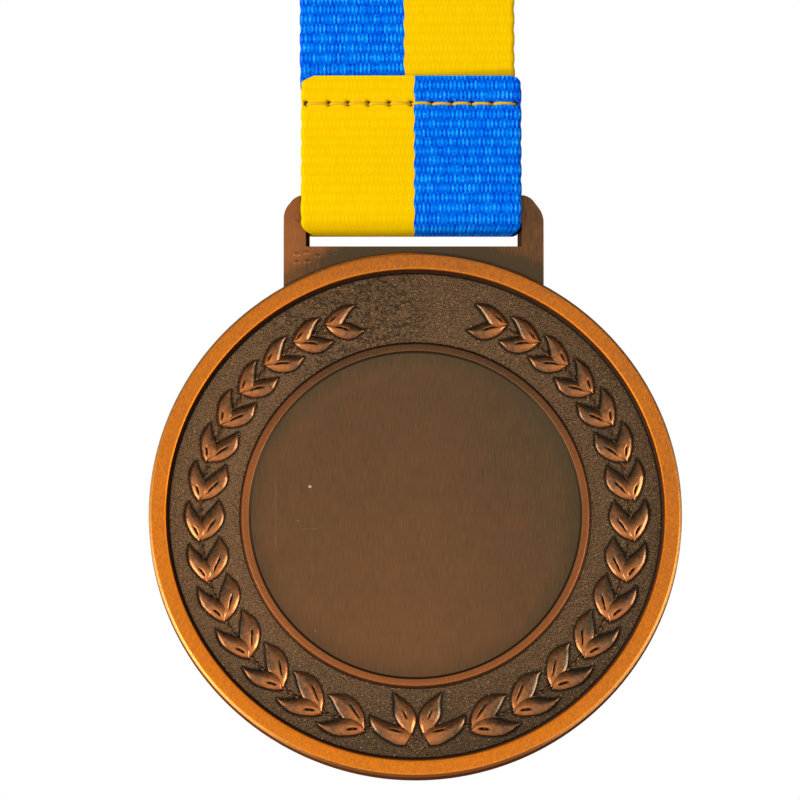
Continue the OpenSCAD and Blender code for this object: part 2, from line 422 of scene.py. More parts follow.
@dataclass(frozen=True)
class BronzeFinish:
    """Antique bronze plating: dark patina, rubbed off to copper where it is worn, with painted light and
    shade laid into the colour by its fades and its crevice value.

    Attributes:
        name: The material's name.
        surface: What its skin is like.
        polished: Colour where the patina is rubbed off.
        patina: Colour where it is left.
        wear_and_shade: Share that is rubbed off on the plain surface.
        spread: How much that share varies from place to place.
        roughness: How dull it is.
        fades: Stretches over which it is painted darker, as painted light and shade across the face.
        metallic: Share that mirrors like bare metal.
        edge_wear: How far the mesh's polish_and_shade value raises the rubbed-off share where it is
            polished, and lowers it where shade is painted on a leaf.
        grit: How strongly the grain or the brush lines show.
        specular: Strength of the white gloss on the part that isn't bare metal.
        coat: Share of clear lacquer over it.
        painted_shade: Stretches where a painted shadow line darkens it.
    """

    name: str
    surface: Surface
    polished: Colour
    patina: Colour
    wear_and_shade: float
    spread: float
    roughness: float
    fades: tuple[Fade, ...] = ()
    metallic: float = 0.9
    edge_wear: float = 0.45
    grit: float = 1.0
    specular: float = 0.5
    coat: float = 0.0
    painted_shade: tuple[Fade, ...] = ()

    def material(self, datum: Datum) -> bpy.types.Material:
        """Builds the material.

        Args:
            datum: Where the disc's centre lies.

        Returns:
            The finished material.
        """
        shade = Shade(self.name, datum)
        spot = shade.place()
        broad = shade.noise(spot, 0.12, 2.0)
        wear_and_shade = shade.math("MULTIPLY_ADD", broad, 2 * self.spread, self.wear_and_shade - self.spread)
        wear_and_shade = shade.math("MULTIPLY_ADD", shade.attribute("polish_and_shade"), self.edge_wear, wear_and_shade)
        parts = (*shade.split(spot), shade.length(shade.place((1, 0, 1))))
        # Painted light and shade: each fade takes copper share away over a stretch of the face, as the lamps
        # fall across it.
        for fade in self.fades:
            lost = shade.span(parts[fade.axis.value], fade.start, fade.stop, 0.0, fade.lost)
            wear_and_shade = shade.math("SUBTRACT", wear_and_shade, lost)
        makers = {
            Surface.SATIN: self._satin,
            Surface.BRUSHED: self._brushed,
            Surface.CAST: self._cast,
            Surface.GLOSSY: self._glossy,
        }
        wear_and_shade, dull = makers[self.surface](shade, spot, wear_and_shade)
        # Painted shade: the crevice value darkens concave corners, grooves, leaf feet and bubble rims, and
        # the painted_shade stretches add painted shadow lines.
        crevice = shade.attribute("crevice")
        for fade in self.painted_shade:
            shade_line = shade.span(parts[fade.axis.value], fade.start, fade.stop, 0.0, fade.lost)
            crevice = shade.math("ADD", crevice, shade_line)
        wear_and_shade = shade.math("SUBTRACT", wear_and_shade, crevice, clamp=True)
        base = shade.blend(wear_and_shade, self.patina, self.polished)
        # Near-black brown that the painted shade darkens towards.
        crevice_shade = tuple(0.25 * share for share in self.patina)
        base = shade.blend(shade.math("MULTIPLY", crevice, 0.9, clamp=True), base, crevice_shade)
        shade.set(Base_Color=base, Metallic=self.metallic, Roughness=dull, Coat_Weight=self.coat,
                  Coat_Roughness=0.12, Specular_IOR_Level=self.specular)
        return shade.material

    def _vary(self, shade: Shade, wear_and_shade: Socket, value: Socket, reach: float) -> Socket:
        """Adds a value from 0 to 1 to the rubbed-off share, evenly up and down."""
        return shade.math("MULTIPLY_ADD", shade.math("SUBTRACT", value, 0.5), reach * self.grit, wear_and_shade)

    def _satin(self, shade: Shade, spot: Socket, wear_and_shade: Socket) -> tuple[Socket, Socket]:
        """Fine even grain, as on the rim and the ring."""
        fine = shade.noise(shade.place((1.0, 1.0, 0.4)), 6.5, 2.0, 0.7)
        patches = shade.noise(spot, 1.6, 3.0, 0.6)
        wear_and_shade = self._vary(shade, self._vary(shade, wear_and_shade, fine, 1.2), patches, 0.4)
        shade.bump(fine, 0.03, 0.8)
        return wear_and_shade, shade.span(fine, 0.3, 0.7, self.roughness - 0.05, self.roughness + 0.07)

    def _brushed(self, shade: Shade, spot: Socket, wear_and_shade: Socket) -> tuple[Socket, Socket]:
        """Upright brush lines, as on the plain centre and the lug."""
        lines = shade.noise(shade.place((7.0, 1.0, 0.09)), 1.0, 4.0, 0.7)
        hair = shade.noise(shade.place((18.0, 1.0, 0.5)), 1.0, 2.0, 0.6)
        cloud = shade.noise(spot, 0.5, 4.0, 0.65)
        wear_and_shade = self._vary(shade, self._vary(shade, wear_and_shade, lines, 0.35), hair, 1.1)
        wear_and_shade = self._vary(shade, wear_and_shade, cloud, 0.2)
        shade.bump(shade.math("ADD", lines, hair), 0.012, 0.4)
        return wear_and_shade, shade.span(lines, 0.3, 0.7, self.roughness - 0.03, self.roughness + 0.04)

    def _cast(self, shade: Shade, spot: Socket, wear_and_shade: Socket) -> tuple[Socket, Socket]:
        """Sandy cast grain with glints, as on the field."""
        grain = shade.noise(spot, 7.5, 2.0, 0.6)
        dots = shade.span(shade.cells(spot, 1.7), 0.18, 0.1)
        pits = shade.span(shade.cells(spot, 4.2), 0.1, 0.6)
        wear_and_shade = self._vary(shade, self._vary(shade, wear_and_shade, grain, 2.4), pits, 0.5)
        wear_and_shade = shade.math("MULTIPLY_ADD", dots, 1.2, wear_and_shade)
        shade.bump(shade.math("ADD", grain, pits), 0.05, 0.8)
        return wear_and_shade, shade.span(dots, 0, 1, self.roughness, self.roughness - 0.2)

    def _glossy(self, shade: Shade, spot: Socket, wear_and_shade: Socket) -> tuple[Socket, Socket]:
        """Smooth worn relief, as on the leaves."""
        cloud = shade.noise(spot, 1.9, 4.0, 0.7)
        wear_and_shade = self._vary(shade, wear_and_shade, cloud, 1.2)
        shade.bump(shade.noise(spot, 3.0, 3.0), 0.03, 0.6)
        return wear_and_shade, shade.span(cloud, 0.3, 0.7, self.roughness - 0.04, self.roughness + 0.06)


# Rim: its fades paint it darker towards the top and to the right, as painted light and shade.
RIM_FINISH = BronzeFinish(
    "rim_copper", Surface.SATIN, polished=screen(254, 140, 21), patina=screen(124, 84, 56),
    wear_and_shade=0.84, spread=0.08, roughness=0.42,
    fades=(Fade(Axis.UP, -31, 20, 0.17), Fade(Axis.ACROSS, -31, 31, 0.12),
           Fade(Axis.UP, 26, 31, 0.14)))
# Ring: its fades paint it much darker towards the top and darker to the right, as painted light and shade.
RING_FINISH = BronzeFinish(
    "ring_copper", Surface.SATIN, polished=screen(176, 102, 52), patina=screen(92, 66, 44),
    wear_and_shade=0.78, spread=0.1, roughness=0.46, edge_wear=0.4, grit=0.8,
    fades=(Fade(Axis.UP, 5, 19, 0.7), Fade(Axis.ACROSS, 0, 21, 0.15)))
# Centre: its fades paint it darker towards the top, to the right and next to the ring, as painted light and
# shade.
CENTRE_FINISH = BronzeFinish(
    "centre_brushed", Surface.BRUSHED, polished=screen(158, 102, 63), patina=screen(88, 71, 48),
    wear_and_shade=0.52, spread=0.06, roughness=0.42,
    fades=(Fade(Axis.UP, -20, 20, 0.3), Fade(Axis.ACROSS, 2, 20, 0.22),
           Fade(Axis.OUT, 18, 20.3, 0.2)))
MARK_FINISH = BronzeFinish(
    "centre_marks", Surface.BRUSHED, polished=screen(214, 188, 164), patina=screen(122, 88, 58),
    wear_and_shade=0.2, spread=0.02, roughness=0.42, edge_wear=0.8)
# Lug: its fades paint a reflection that is brightest on the left post and darker to the right and towards
# the disc, and its painted_shade stretch paints a shadow line along its foot at the rim.
LUG_FINISH = BronzeFinish(
    "lug_brushed", Surface.BRUSHED, polished=screen(184, 110, 58), patina=screen(88, 70, 48),
    wear_and_shade=0.8, spread=0.14, roughness=0.42, grit=1.5,
    fades=(Fade(Axis.ACROSS, -15, -9, 0.55), Fade(Axis.ACROSS, -9, 16, 0.03),
           Fade(Axis.OUT, 35.2, 33.6, 0.5)),
    painted_shade=(Fade(Axis.OUT, 32.8, 32.55, 0.8),))
# Field: its fades paint it darker to the right, outwards and towards the top and the bottom, as painted
# light and shade.
FIELD_FINISH = BronzeFinish(
    "field_cast", Surface.CAST, polished=screen(168, 123, 83), patina=screen(59, 50, 36),
    wear_and_shade=0.38, spread=0.06, roughness=0.5, grit=0.8,
    fades=(Fade(Axis.ACROSS, -28, 28, 0.19), Fade(Axis.OUT, 22, 28, 0.04),
           Fade(Axis.UP, 12, 26, 0.03), Fade(Axis.UP, -12, -28, 0.18)))
# Leaves: a fade paints them darker to the right, as painted light and shade.
LEAF_FINISH = BronzeFinish(
    "leaf_relief", Surface.GLOSSY, polished=screen(214, 125, 60), patina=screen(84, 66, 45),
    wear_and_shade=0.35, spread=0.1, roughness=0.24, edge_wear=0.7, coat=0.2,
    fades=(Fade(Axis.ACROSS, -20, 20, 0.1),))
STEM_FINISH = BronzeFinish(
    "stem_relief", Surface.GLOSSY, polished=screen(170, 104, 56), patina=screen(62, 49, 34),
    wear_and_shade=0.05, spread=0.1, roughness=0.3)
SIDE_FINISH = BronzeFinish(
    "side_bronze", Surface.SATIN, polished=screen(172, 88, 34), patina=screen(100, 56, 26),
    wear_and_shade=0.5, spread=0.1, roughness=0.6, metallic=0.0, specular=0.0)
# Outer edge: a painted highlight, bright at the lower left where its fades take the least away, and darker
# to the right, upwards and at the very bottom.
EDGE_FINISH = BronzeFinish(
    "edge_painted_highlight", Surface.SATIN, polished=screen(252, 176, 90), patina=screen(140, 84, 48),
    wear_and_shade=0.9, spread=0.08, roughness=0.4, edge_wear=0.1,
    fades=(Fade(Axis.ACROSS, -24, 10, 0.4), Fade(Axis.UP, -20, 30, 0.35),
           Fade(Axis.UP, -26, -31, 0.75)))
# Painted shade: a dark, dull copy of the bronze for the rim's inner wall and the lug's sides.
WALL_PAINTED_SHADE = BronzeFinish(
    "wall_painted_shade", Surface.SATIN, polished=screen(112, 66, 40), patina=screen(48, 32, 20),
    wear_and_shade=0.3, spread=0.1, roughness=0.6, metallic=0.0, specular=0.0)
BACK_FINISH = BronzeFinish(
    "back_bronze", Surface.SATIN, polished=screen(160, 96, 52), patina=screen(88, 60, 42),
    wear_and_shade=0.45, spread=0.15, roughness=0.45)


@dataclass(frozen=True)
class Weave:
    """Sizes of the woven band in millimetres.

    Each yarn floats over one row and dives under the next, and its neighbours do the opposite.

    Attributes:
        flat_half: Half-width of the flat part, without the round selvedges.
        yarn_pitch: Distance from one yarn to the next.
        row_pitch: Distance from one row of floats to the next.
        scallop: Height of the waves at the selvedge and the colour line.
        colour_line: Where yellow turns to blue, from the middle.
        middle: Middle height of the cloth, from 0 to 1.
        row_share: How much higher the rows are than the gaps between them.
        float_share: How much higher a float is than the yarns beside it.
        lock: How far a float reaches between those of the next row, as a share of the row.
        relief: Height of the cloth that is modelled.
    """

    flat_half: float = 12.8
    yarn_pitch: float = 0.2493
    row_pitch: float = 1.212
    scallop: float = 0.08
    colour_line: float = 0.37
    middle: float = 0.45
    row_share: float = 0.17
    float_share: float = 0.23
    lock: float = 0.16
    relief: float = 0.015

    def height(self, across: float, along: float) -> float:
        """Height of the cloth from 0 to 1, as its material has it."""
        row, yarn = math.pi * along / self.row_pitch, math.pi * across / self.yarn_pitch
        lean = self.lock * math.pi * math.cos(yarn) * math.sin(row)
        rows = self.row_share * math.cos(2 * (row - lean))
        floats = self.float_share * math.cos(yarn) * math.cos(row)
        return min(1.0, max(0.0, self.middle + rows + floats))


@dataclass(frozen=True)
class RibbonFinish:
    """Woven polyester, blue on one side of a line along it and yellow on the other.

    Attributes:
        name: The material's name.
        weave: Sizes of the weave.
        relief: Depth of the bump in millimetres.
        patchy: How much the floats differ in tone.
        fuzz: How much the fibres in a float differ in tone.
    """

    name: str
    weave: Weave
    relief: float
    patchy: float = 0.36
    fuzz: float = 1.9

    def material(self, datum: Datum) -> bpy.types.Material:
        """Builds the material.

        Args:
            datum: Where the disc's centre lies.

        Returns:
            The finished material.
        """
        shade = Shade(self.name, datum)
        across, along = shade.attribute("across"), shade.attribute("along")
        weave = self.weave
        yarn = shade.math("DIVIDE", across, weave.yarn_pitch)
        row = shade.math("DIVIDE", along, weave.row_pitch)
        side = self._wave(shade, yarn)
        rise = shade.math("SINE", shade.math("MULTIPLY", row, math.pi))
        lean = shade.math("MULTIPLY", shade.math("MULTIPLY", side, rise), -weave.lock)
        rows = self._wave(shade, shade.math("MULTIPLY", shade.math("ADD", row, lean), 2.0))
        floats = shade.math("MULTIPLY", side, self._wave(shade, row))
        height = shade.math("MULTIPLY_ADD", rows, weave.row_share, weave.middle)
        height = shade.math("MULTIPLY_ADD", floats, weave.float_share, height, clamp=True)
        chance = shade.random(shade.join(
            shade.math("ROUND", yarn), shade.math("ROUND", row), 0.0))
        fibre = shade.noise(
            shade.join(shade.math("MULTIPLY", across, 3.0), along, 0.0), 3.2, 2.0, 0.6)
        tone = shade.math("MULTIPLY_ADD", shade.math("SUBTRACT", chance, 0.5), self.patchy, height)
        tone = shade.math("MULTIPLY_ADD", shade.math("SUBTRACT", fibre, 0.5), self.fuzz, tone,
                          clamp=True)
        blue = shade.ramp(tone, (
            (0.0, screen(0, 46, 202)), (0.45, screen(0, 108, 238)),
            (0.8, screen(0, 148, 254)), (1.0, screen(48, 192, 255))))
        yellow = shade.ramp(tone, (
            (0.0, screen(252, 192, 0)), (0.45, screen(255, 203, 0)), (1.0, screen(255, 214, 0))))
        wave = shade.math("SINE", shade.math("MULTIPLY", along, math.pi / weave.row_pitch))
        line = shade.math("MULTIPLY_ADD", wave, weave.scallop, weave.colour_line)
        base = shade.blend(shade.math("GREATER_THAN", across, line), yellow, blue)
        # Painted shade in the needle holes and the flap's painted shadow on the strap above it.
        base = shade.blend(shade.attribute("hole"), base, screen(30, 24, 12))
        shade.set(Base_Color=base, Roughness=0.6, Specular_IOR_Level=0.02)
        shade.bump(shade.math("MULTIPLY_ADD", fibre, 0.25, height), self.relief, 0.8)
        return shade.material

    def _wave(self, shade: Shade, value: Socket) -> Socket:
        """Cosine that turns by half for each whole number."""
        return shade.math("COSINE", shade.math("MULTIPLY", value, math.pi))


def make_piece(name: str, bm: bmesh.types.BMesh, place: Matrix, looks: Sequence[bpy.types.Material],
               body: Body | None, crease: float = 40.0,
               flat_over: float = 1e9) -> bpy.types.Object:
    """Puts a shape in place as a finished piece.

    Args:
        name: The piece's name.
        bm: The shape, which is freed.
        place: Matrix from the shape's drawing to the part's frame.
        looks: Its materials, in the order of its faces' indices.
        body: The body that it rides on, or None for a piece that bends between two.
        crease: Edges sharper than this many degrees stay sharp.
        flat_over: Faces larger than this many square millimetres are shaded flat.

    Returns:
        The piece's object.
    """
    limit = math.radians(crease)
    for edge in bm.edges:
        edge.smooth = len(edge.link_faces) != 2 or edge.calc_face_angle(0.0) < limit
    for face in bm.faces:
        face.smooth = face.calc_area() < flat_over
    bm.transform(place)
    mesh = bpy.data.meshes.new(name)
    bm.to_mesh(mesh)
    bm.free()
    for look in looks:
        mesh.materials.append(look)
    piece = put_in_scene(name, mesh)
    if body is not None:
        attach(piece, body.value)
    LOG.info("%s: %d faces", name, len(mesh.polygons))
    return piece


@dataclass(frozen=True)
class Bend:
    """A corner of the disc's half section.

    Attributes:
        r: Distance from the disc's axis.
        z: Height from the middle of the lug's thickness.
        radius: Length of the rounding on each side of the corner.
        steps: Pieces that the line from here to the next corner is cut into.
        zone: Zone from here to the next corner.
    """

    r: float
    z: float
    radius: float
    steps: int
    zone: Zone


@dataclass(frozen=True)
class ProfilePoint:
    """A point of the rounded half section, with what the finish needs to know there."""

    r: float
    z: float
    zone: Zone
    polish_and_shade: float
    crevice: float


@dataclass
class Disc:
    """The round disc: plain centre, raised ring, grainy field, raised rim and flat back.

    Attributes:
        datum: Where the medal is and its outer sizes.
        rim_w: Width of the rim's flat top.
        wall_w: Width of the rim's steep inner wall.
        edge_cut: Size of the cut along the rim's outer edges.
        field_z: Height of the field.
        ring_z: Height of the ring.
        centre_z: Height of the plain centre.
        ring_r: Outer radius of the ring.
        ring_w: Width of the ring.
        turns: Steps round the disc.
        bend_steps: Pieces that a rounded corner of the section is cut into.
        grain: Height of the field's cast grain.
        grain_size: Size of the grain.
        bubble: Height of the bubbles at the upper left of the field.
        bubbly_place: Middle of the bubbly patch, across and up.
        bubbly_reach: Distance from there at which the last bubbles are.
        foot_shade: Reach of the painted shade round the leaves.
    """

    datum: Datum
    rim_w: float = 2.0
    wall_w: float = 0.46
    edge_cut: float = 0.3
    field_z: float = 0.8
    ring_z: float = 1.4
    centre_z: float = 1.0
    ring_r: float = 21.26
    ring_w: float = 0.92
    turns: int = 880
    bend_steps: int = 4
    grain: float = 0.045
    grain_size: float = 0.34
    bubble: float = 0.12
    bubbly_place: tuple[float, float] = (-8.5, 25.0)
    bubbly_reach: float = 12.0
    foot_shade: float = 0.15

    FINISHES = {
        Zone.CENTRE: CENTRE_FINISH,
        Zone.RING: RING_FINISH,
        Zone.FIELD: FIELD_FINISH,
        Zone.RIM: RIM_FINISH,
        Zone.SIDE: SIDE_FINISH,
        Zone.BACK: BACK_FINISH,
        Zone.WALL: WALL_PAINTED_SHADE,
        Zone.EDGE: EDGE_FINISH,
    }
    # place across and up, half-width and half-height
    MARKS = ((-12.85, 3.55, 0.2, 0.18), (-12.2, -14.3, 0.12, 0.12), (-12.9, -1.7, 1.2, 0.035),
             (-17.0, 0.5, 0.022, 5.5), (-12.6, -4.0, 0.02, 4.0), (-14.3, -0.7, 0.25, 0.05))

    def bends(self) -> list[Bend]:
        """Corners of the half section from the centre of the face to the centre of the back."""
        rim_r, rim_z, back = self.datum.disc_r, self.datum.front, self.datum.back
        rim_in, ring_in = rim_r - self.rim_w, self.ring_r - self.ring_w
        return [
            Bend(0, self.centre_z, 0, 5, Zone.CENTRE),
            Bend(ring_in - 0.16, self.centre_z, 0.3, 1, Zone.CENTRE),
            Bend(ring_in, self.ring_z, 0.1, 2, Zone.RING),
            Bend(self.ring_r - 0.1, self.ring_z, 0.12, 1, Zone.RING),
            Bend(self.ring_r + 0.08, self.field_z, 0.2, 46, Zone.FIELD),
            Bend(rim_in - self.wall_w, self.field_z, 0.2, 2, Zone.WALL),
            Bend(rim_in - 0.12, rim_z - 0.16, 0.1, 1, Zone.RIM),
            Bend(rim_in, rim_z, 0.1, 4, Zone.RIM),
            Bend(rim_r - self.edge_cut, rim_z, 0.1, 1, Zone.EDGE),
            Bend(rim_r, rim_z - self.edge_cut, 0.12, 2, Zone.SIDE),
            Bend(rim_r, back + self.edge_cut, 0.12, 1, Zone.SIDE),
            Bend(rim_r - self.edge_cut, back, 0.12, 5, Zone.BACK),
            Bend(0, back, 0, 1, Zone.BACK),
        ]

    def profile(self) -> list[ProfilePoint]:
        """The half section with its corners rounded.

        Returns:
            Its points from the centre of the face to the centre of the back.
        """
        bends = self.bends()
        spots = [Vector((bend.r, bend.z)) for bend in bends]
        points = []
        for index, bend in enumerate(bends):
            here = spots[index]
            if bend.radius == 0:
                points.append(ProfilePoint(bend.r, bend.z, bend.zone, 0, 0))
            else:
                back, ahead = spots[index - 1] - here, spots[index + 1] - here
                reach = min(bend.radius, 0.45 * back.length, 0.45 * ahead.length)
                first, last = here + reach * back.normalized(), here + reach * ahead.normalized()
                convex = back.x * ahead.y - back.y * ahead.x > 0
                for step in range(self.bend_steps + 1):
                    u = step / self.bend_steps
                    spot = (1 - u) ** 2 * first + 2 * u * (1 - u) * here + u * u * last
                    # Convex corners are marked polished, concave ones get the crevice value for painted
                    # shade.
                    edge = 1 - abs(2 * u - 1)
                    points.append(ProfilePoint(
                        spot.x, spot.y, bends[index - 1].zone if u < 0.5 else bend.zone,
                        edge if convex else 0, 0 if convex else edge))
            if index + 1 < len(bends):
                start = Vector((points[-1].r, points[-1].z))
                goal = bends[index + 1]
                gap = spots[index + 1] - here
                stop = spots[index + 1] - min(goal.radius, 0.45 * gap.length) * gap.normalized()
                for step in range(1, bend.steps):
                    spot = start.lerp(stop, step / bend.steps)
                    points.append(ProfilePoint(spot.x, spot.y, bend.zone, 0, 0))
        return points

    def build(self, leaf_edges: Sequence[Vector]) -> bpy.types.Object:
        """Spins the half section into the disc and casts the field's grain.

        Args:
            leaf_edges: Points round the feet of the leaves, where shade is painted on the field.

        Returns:
            The disc's object.
        """
        bm = bmesh.new()
        polish_and_shade, crevice = wear_layers(bm)
        points = self.profile()
        ring = []
        for point in points:
            vert = bm.verts.new((point.r, 0, point.z))
            vert[polish_and_shade], vert[crevice] = point.polish_and_shade, point.crevice
            ring.append(vert)
        line = [bm.edges.new(pair) for pair in zip(ring, ring[1:])]
        bmesh.ops.spin(bm, geom=ring + line, cent=(0, 0, 0), axis=(0, 0, 1), dvec=(0, 0, 0),
                       angle=2 * math.pi, steps=self.turns, use_merge=True)
        bmesh.ops.remove_doubles(bm, verts=bm.verts, dist=1e-4)
        bmesh.ops.recalc_face_normals(bm, faces=bm.faces)
        self._zones(bm, points)
        self._cast(bm, crevice, leaf_edges)
        looks = [self.FINISHES[zone].material(self.datum) for zone in Zone]
        return make_piece("medal_disc", bm, self.datum.face_up(), looks, Body.MEDAL, 50)

    def marks(self) -> None:
        """Adds a fleck, a speck and hair-thin scratches on the plain centre, each a flat dome."""
        bm = bmesh.new()
        polish_and_shade, _ = wear_layers(bm)
        for x, y, half_w, half_h in self.MARKS:
            made = bmesh.ops.create_uvsphere(bm, u_segments=16, v_segments=6, radius=1)["verts"]
            bmesh.ops.scale(bm, vec=(half_w, half_h, 0.02), verts=made)
            bmesh.ops.translate(bm, vec=(x, y, self.centre_z), verts=made)
            for vert in made:
                vert[polish_and_shade] = float(min(half_w, half_h) > 0.15)
        look = MARK_FINISH.material(self.datum)
        make_piece("centre_marks", bm, self.datum.face_up(), [look], Body.MEDAL)

    def _zones(self, bm: bmesh.types.BMesh, points: Sequence[ProfilePoint]) -> None:
        """Gives each face the finish of the stretch of the section that it comes from."""
        middles = [((a.r + b.r) / 2, (a.z + b.z) / 2, a.zone) for a, b in zip(points, points[1:])]
        tree = kdtree.KDTree(len(middles))
        for index, (r, z, _) in enumerate(middles):
            tree.insert((r, z, 0), index)
        tree.balance()
        for face in bm.faces:
            spot = face.calc_center_median()
            _, index, _ = tree.find((math.hypot(spot.x, spot.y), spot.z, 0))
            face.material_index = int(middles[index][2])

    def _cast(self, bm: bmesh.types.BMesh, crevice: bmesh.types.BMLayerItem,
              leaf_edges: Sequence[Vector]) -> None:
        """Roughens the field and paints shade on it round the leaves and round each bubble."""
        tree = kdtree.KDTree(len(leaf_edges))
        for index, spot in enumerate(leaf_edges):
            tree.insert((spot.x, spot.y, 0), index)
        tree.balance()
        inner, outer = self.ring_r + 0.3, self.datum.disc_r - self.rim_w - 0.6
        margin, fine_share, fine_scale = 0.5, 0.6, 2.1
        bubbles_per_mm, bubble_r, thin_out = 1.35, 0.42, 5
        moat_r, moat_w, moat_dark, foot_dark = 0.47, 0.08, 0.3, 0.8
        bubbly_x, bubbly_y = self.bubbly_place
        for vert in bm.verts:
            x, y, z = vert.co
            r = math.hypot(x, y)
            if not inner < r < outer or abs(z - self.field_z) > 0.01:
                continue
            fade = smooth((r - inner) / margin) * smooth((outer - r) / margin)
            spot = vert.co / self.grain_size
            lift = self.grain * noise.noise(spot)
            lift += fine_share * self.grain * noise.noise(fine_scale * spot)
            bubbly = smooth((self.bubbly_reach - math.hypot(x - bubbly_x, y - bubbly_y)) / thin_out)
            if bubbly > 0:
                near = noise.voronoi(vert.co * bubbles_per_mm)[0][0]
                lift += bubbly * self.bubble * max(0.0, 1 - (near / bubble_r) ** 2)
                # Painted shade in a ring round each bubble.
                moat = math.exp(-(((near - moat_r) / moat_w) ** 2))
                vert[crevice] = moat_dark * bubbly * moat
            vert.co.z += fade * lift
            # Painted shade on the field round the feet of the leaves.
            _, _, away = tree.find((x, y, 0))
            shade = foot_dark * math.exp(-((away / self.foot_shade) ** 2))
            vert[crevice] = max(vert[crevice], shade)


@dataclass
class Lug:
    """The flat frame above the disc: two posts, the web below the slot and the round bar.

    Attributes:
        datum: Where the medal is and its outer sizes.
        half: Half the lug's width.
        thick: Its thickness.
        slot_bottom: Height of the slot's lower edge.
        slot_top: Height of the slot's upper edge.
        slot_half: Half the slot's width at the front.
        draft: How much narrower each side of the slot is at the back.
        left_cut: Size of the cut at the left top corner, across and down.
        right_cut: Size of the cut at the right top corner.
        rounding: Rounding at the ends of those cuts.
        edge_round: Rounding of the frame's sharp edges.
        bar_round: Rounding of the bar's long edges.
        foot_depth: How far the web stands inside the disc's edge.
        shift: How far the lug stands to the right of the disc's centre.
    """

    datum: Datum
    half: float = 15.9
    thick: float = 2.0
    slot_bottom: float = 33.4
    slot_top: float = 36.0
    slot_half: float = 13.2
    draft: float = 0.5
    left_cut: tuple[float, float] = (1.55, 1.95)
    right_cut: tuple[float, float] = (1.8, 2.4)
    rounding: float = 0.85
    edge_round: float = 0.13
    bar_round: float = 0.6
    foot_depth: float = 1.0
    shift: float = -0.2

    def build(self) -> None:
        """Models the frame, its bar and the casting blisters."""
        look, side_look = (finish.material(self.datum) for finish in (LUG_FINISH, WALL_PAINTED_SHADE))
        place = self.datum.face_up()
        make_piece("lug_frame", self._frame(), place, [look, side_look], Body.MEDAL,
                   flat_over=2.0)
        make_piece("lug_bar", self._bar(), place, [look], Body.MEDAL, flat_over=20.0)
        make_piece("lug_blisters", self._blisters(), place, [look], Body.MEDAL)

    def _frame(self) -> bmesh.types.BMesh:
        """Posts and web in one plate, standing in the rim that they are cast on."""
        columns, rows = 16, 3
        bm = bmesh.new()
        bmesh.ops.create_grid(bm, x_segments=columns, y_segments=rows, size=1)
        foot_r = self.datum.disc_r - self.foot_depth
        inner = columns - 2
        for vert in bm.verts:
            column, row = grid_place(vert, columns, rows)
            ends = {0: -self.half, columns: self.half}
            x = ends.get(column, mix(-self.slot_half, self.slot_half, (column - 1) / inner))
            foot = math.sqrt(foot_r**2 - x * x)
            y = (foot, self.slot_bottom, self.slot_top, self.datum.lug_top)[row]
            vert.co = (x, y, -self.thick / 2)
        for side, across, down in ((-1, *self.left_cut), (1, *self.right_cut)):
            spot = Vector((side * self.half, self.datum.lug_top - down, 0))
            normal = Vector((side * down, across, 0))
            bmesh.ops.bisect_plane(bm, geom=bm.verts[:] + bm.edges[:] + bm.faces[:], dist=1e-4,
                                   plane_co=spot, plane_no=normal, clear_outer=True)
        open_faces = [
            face for face in bm.faces
            if abs(face.calc_center_median().x) < self.slot_half
            and face.calc_center_median().y > self.slot_bottom]
        bmesh.ops.delete(bm, geom=open_faces, context="FACES")
        front = bmesh.ops.extrude_face_region(bm, geom=bm.faces[:])["geom"]
        for vert in front:
            if isinstance(vert, bmesh.types.BMVert):
                vert.co.z = self.thick / 2
        for vert in bm.verts:
            side = abs(vert.co.x)
            beside_slot = abs(side - self.slot_half) < 0.01 and vert.co.y > self.slot_bottom - 0.1
            if vert.co.z < 0 and beside_slot:
                vert.co.x = math.copysign(side - self.draft, vert.co.x)
        bmesh.ops.recalc_face_normals(bm, faces=bm.faces)
        self._bevel(bm, self._upright(bm), self.rounding, 4)
        sharp = [edge for edge in bm.edges if len(edge.link_faces) == 2
                 and edge.calc_face_angle(0.0) > math.radians(50)
                 and min(vert.co.xy.length for vert in edge.verts) > foot_r + 0.8]
        self._bevel(bm, sharp, self.edge_round, 2)
        bm.normal_update()
        for face in bm.faces:
            # Side faces get the wall's painted-shade material.
            face.material_index = int(abs(face.normal.z) < 0.4)
        bmesh.ops.translate(bm, vec=(self.shift, 0, 0), verts=bm.verts)
        return bm

    def _upright(self, bm: bmesh.types.BMesh) -> list[bmesh.types.BMEdge]:
        """Edges through the plate at the ends of its corner cuts."""
        found = []
        for edge in bm.edges:
            a, b = (vert.co for vert in edge.verts)
            through = abs(a.z - b.z) > 0.9 * self.thick
            outside = abs(a.x) > self.slot_half + 0.2 and a.y > self.slot_top
            if through and outside and edge.calc_face_angle(0.0) > math.radians(20):
                found.append(edge)
        return found

    def _bevel(self, bm: bmesh.types.BMesh, edges: Sequence[bmesh.types.BMEdge], size: float,
               segments: int) -> None:
        """Cuts or rounds edges."""
        bmesh.ops.bevel(bm, geom=list(edges), offset=size, offset_type="OFFSET", segments=segments,
                        profile=0.5, affect="EDGES", material=-1, clamp_overlap=True)

    def _bar(self) -> bmesh.types.BMesh:
        """The bar that the ribbon hangs on, with round edges and its ends in the posts."""
        height = self.datum.lug_top - self.slot_top
        bm = bmesh.new()
        bmesh.ops.create_cube(bm, size=1)
        bmesh.ops.scale(bm, vec=(2 * self.slot_half + 0.1, height, self.thick), verts=bm.verts)
        bmesh.ops.translate(bm, vec=(0, self.slot_top + height / 2, 0), verts=bm.verts)
        long_edges = [edge for edge in bm.edges if abs(edge.verts[0].co.x - edge.verts[1].co.x) > 1]
        self._bevel(bm, long_edges, self.bar_round, 6)
        bmesh.ops.translate(bm, vec=(self.shift, 0, 0), verts=bm.verts)
        return bm

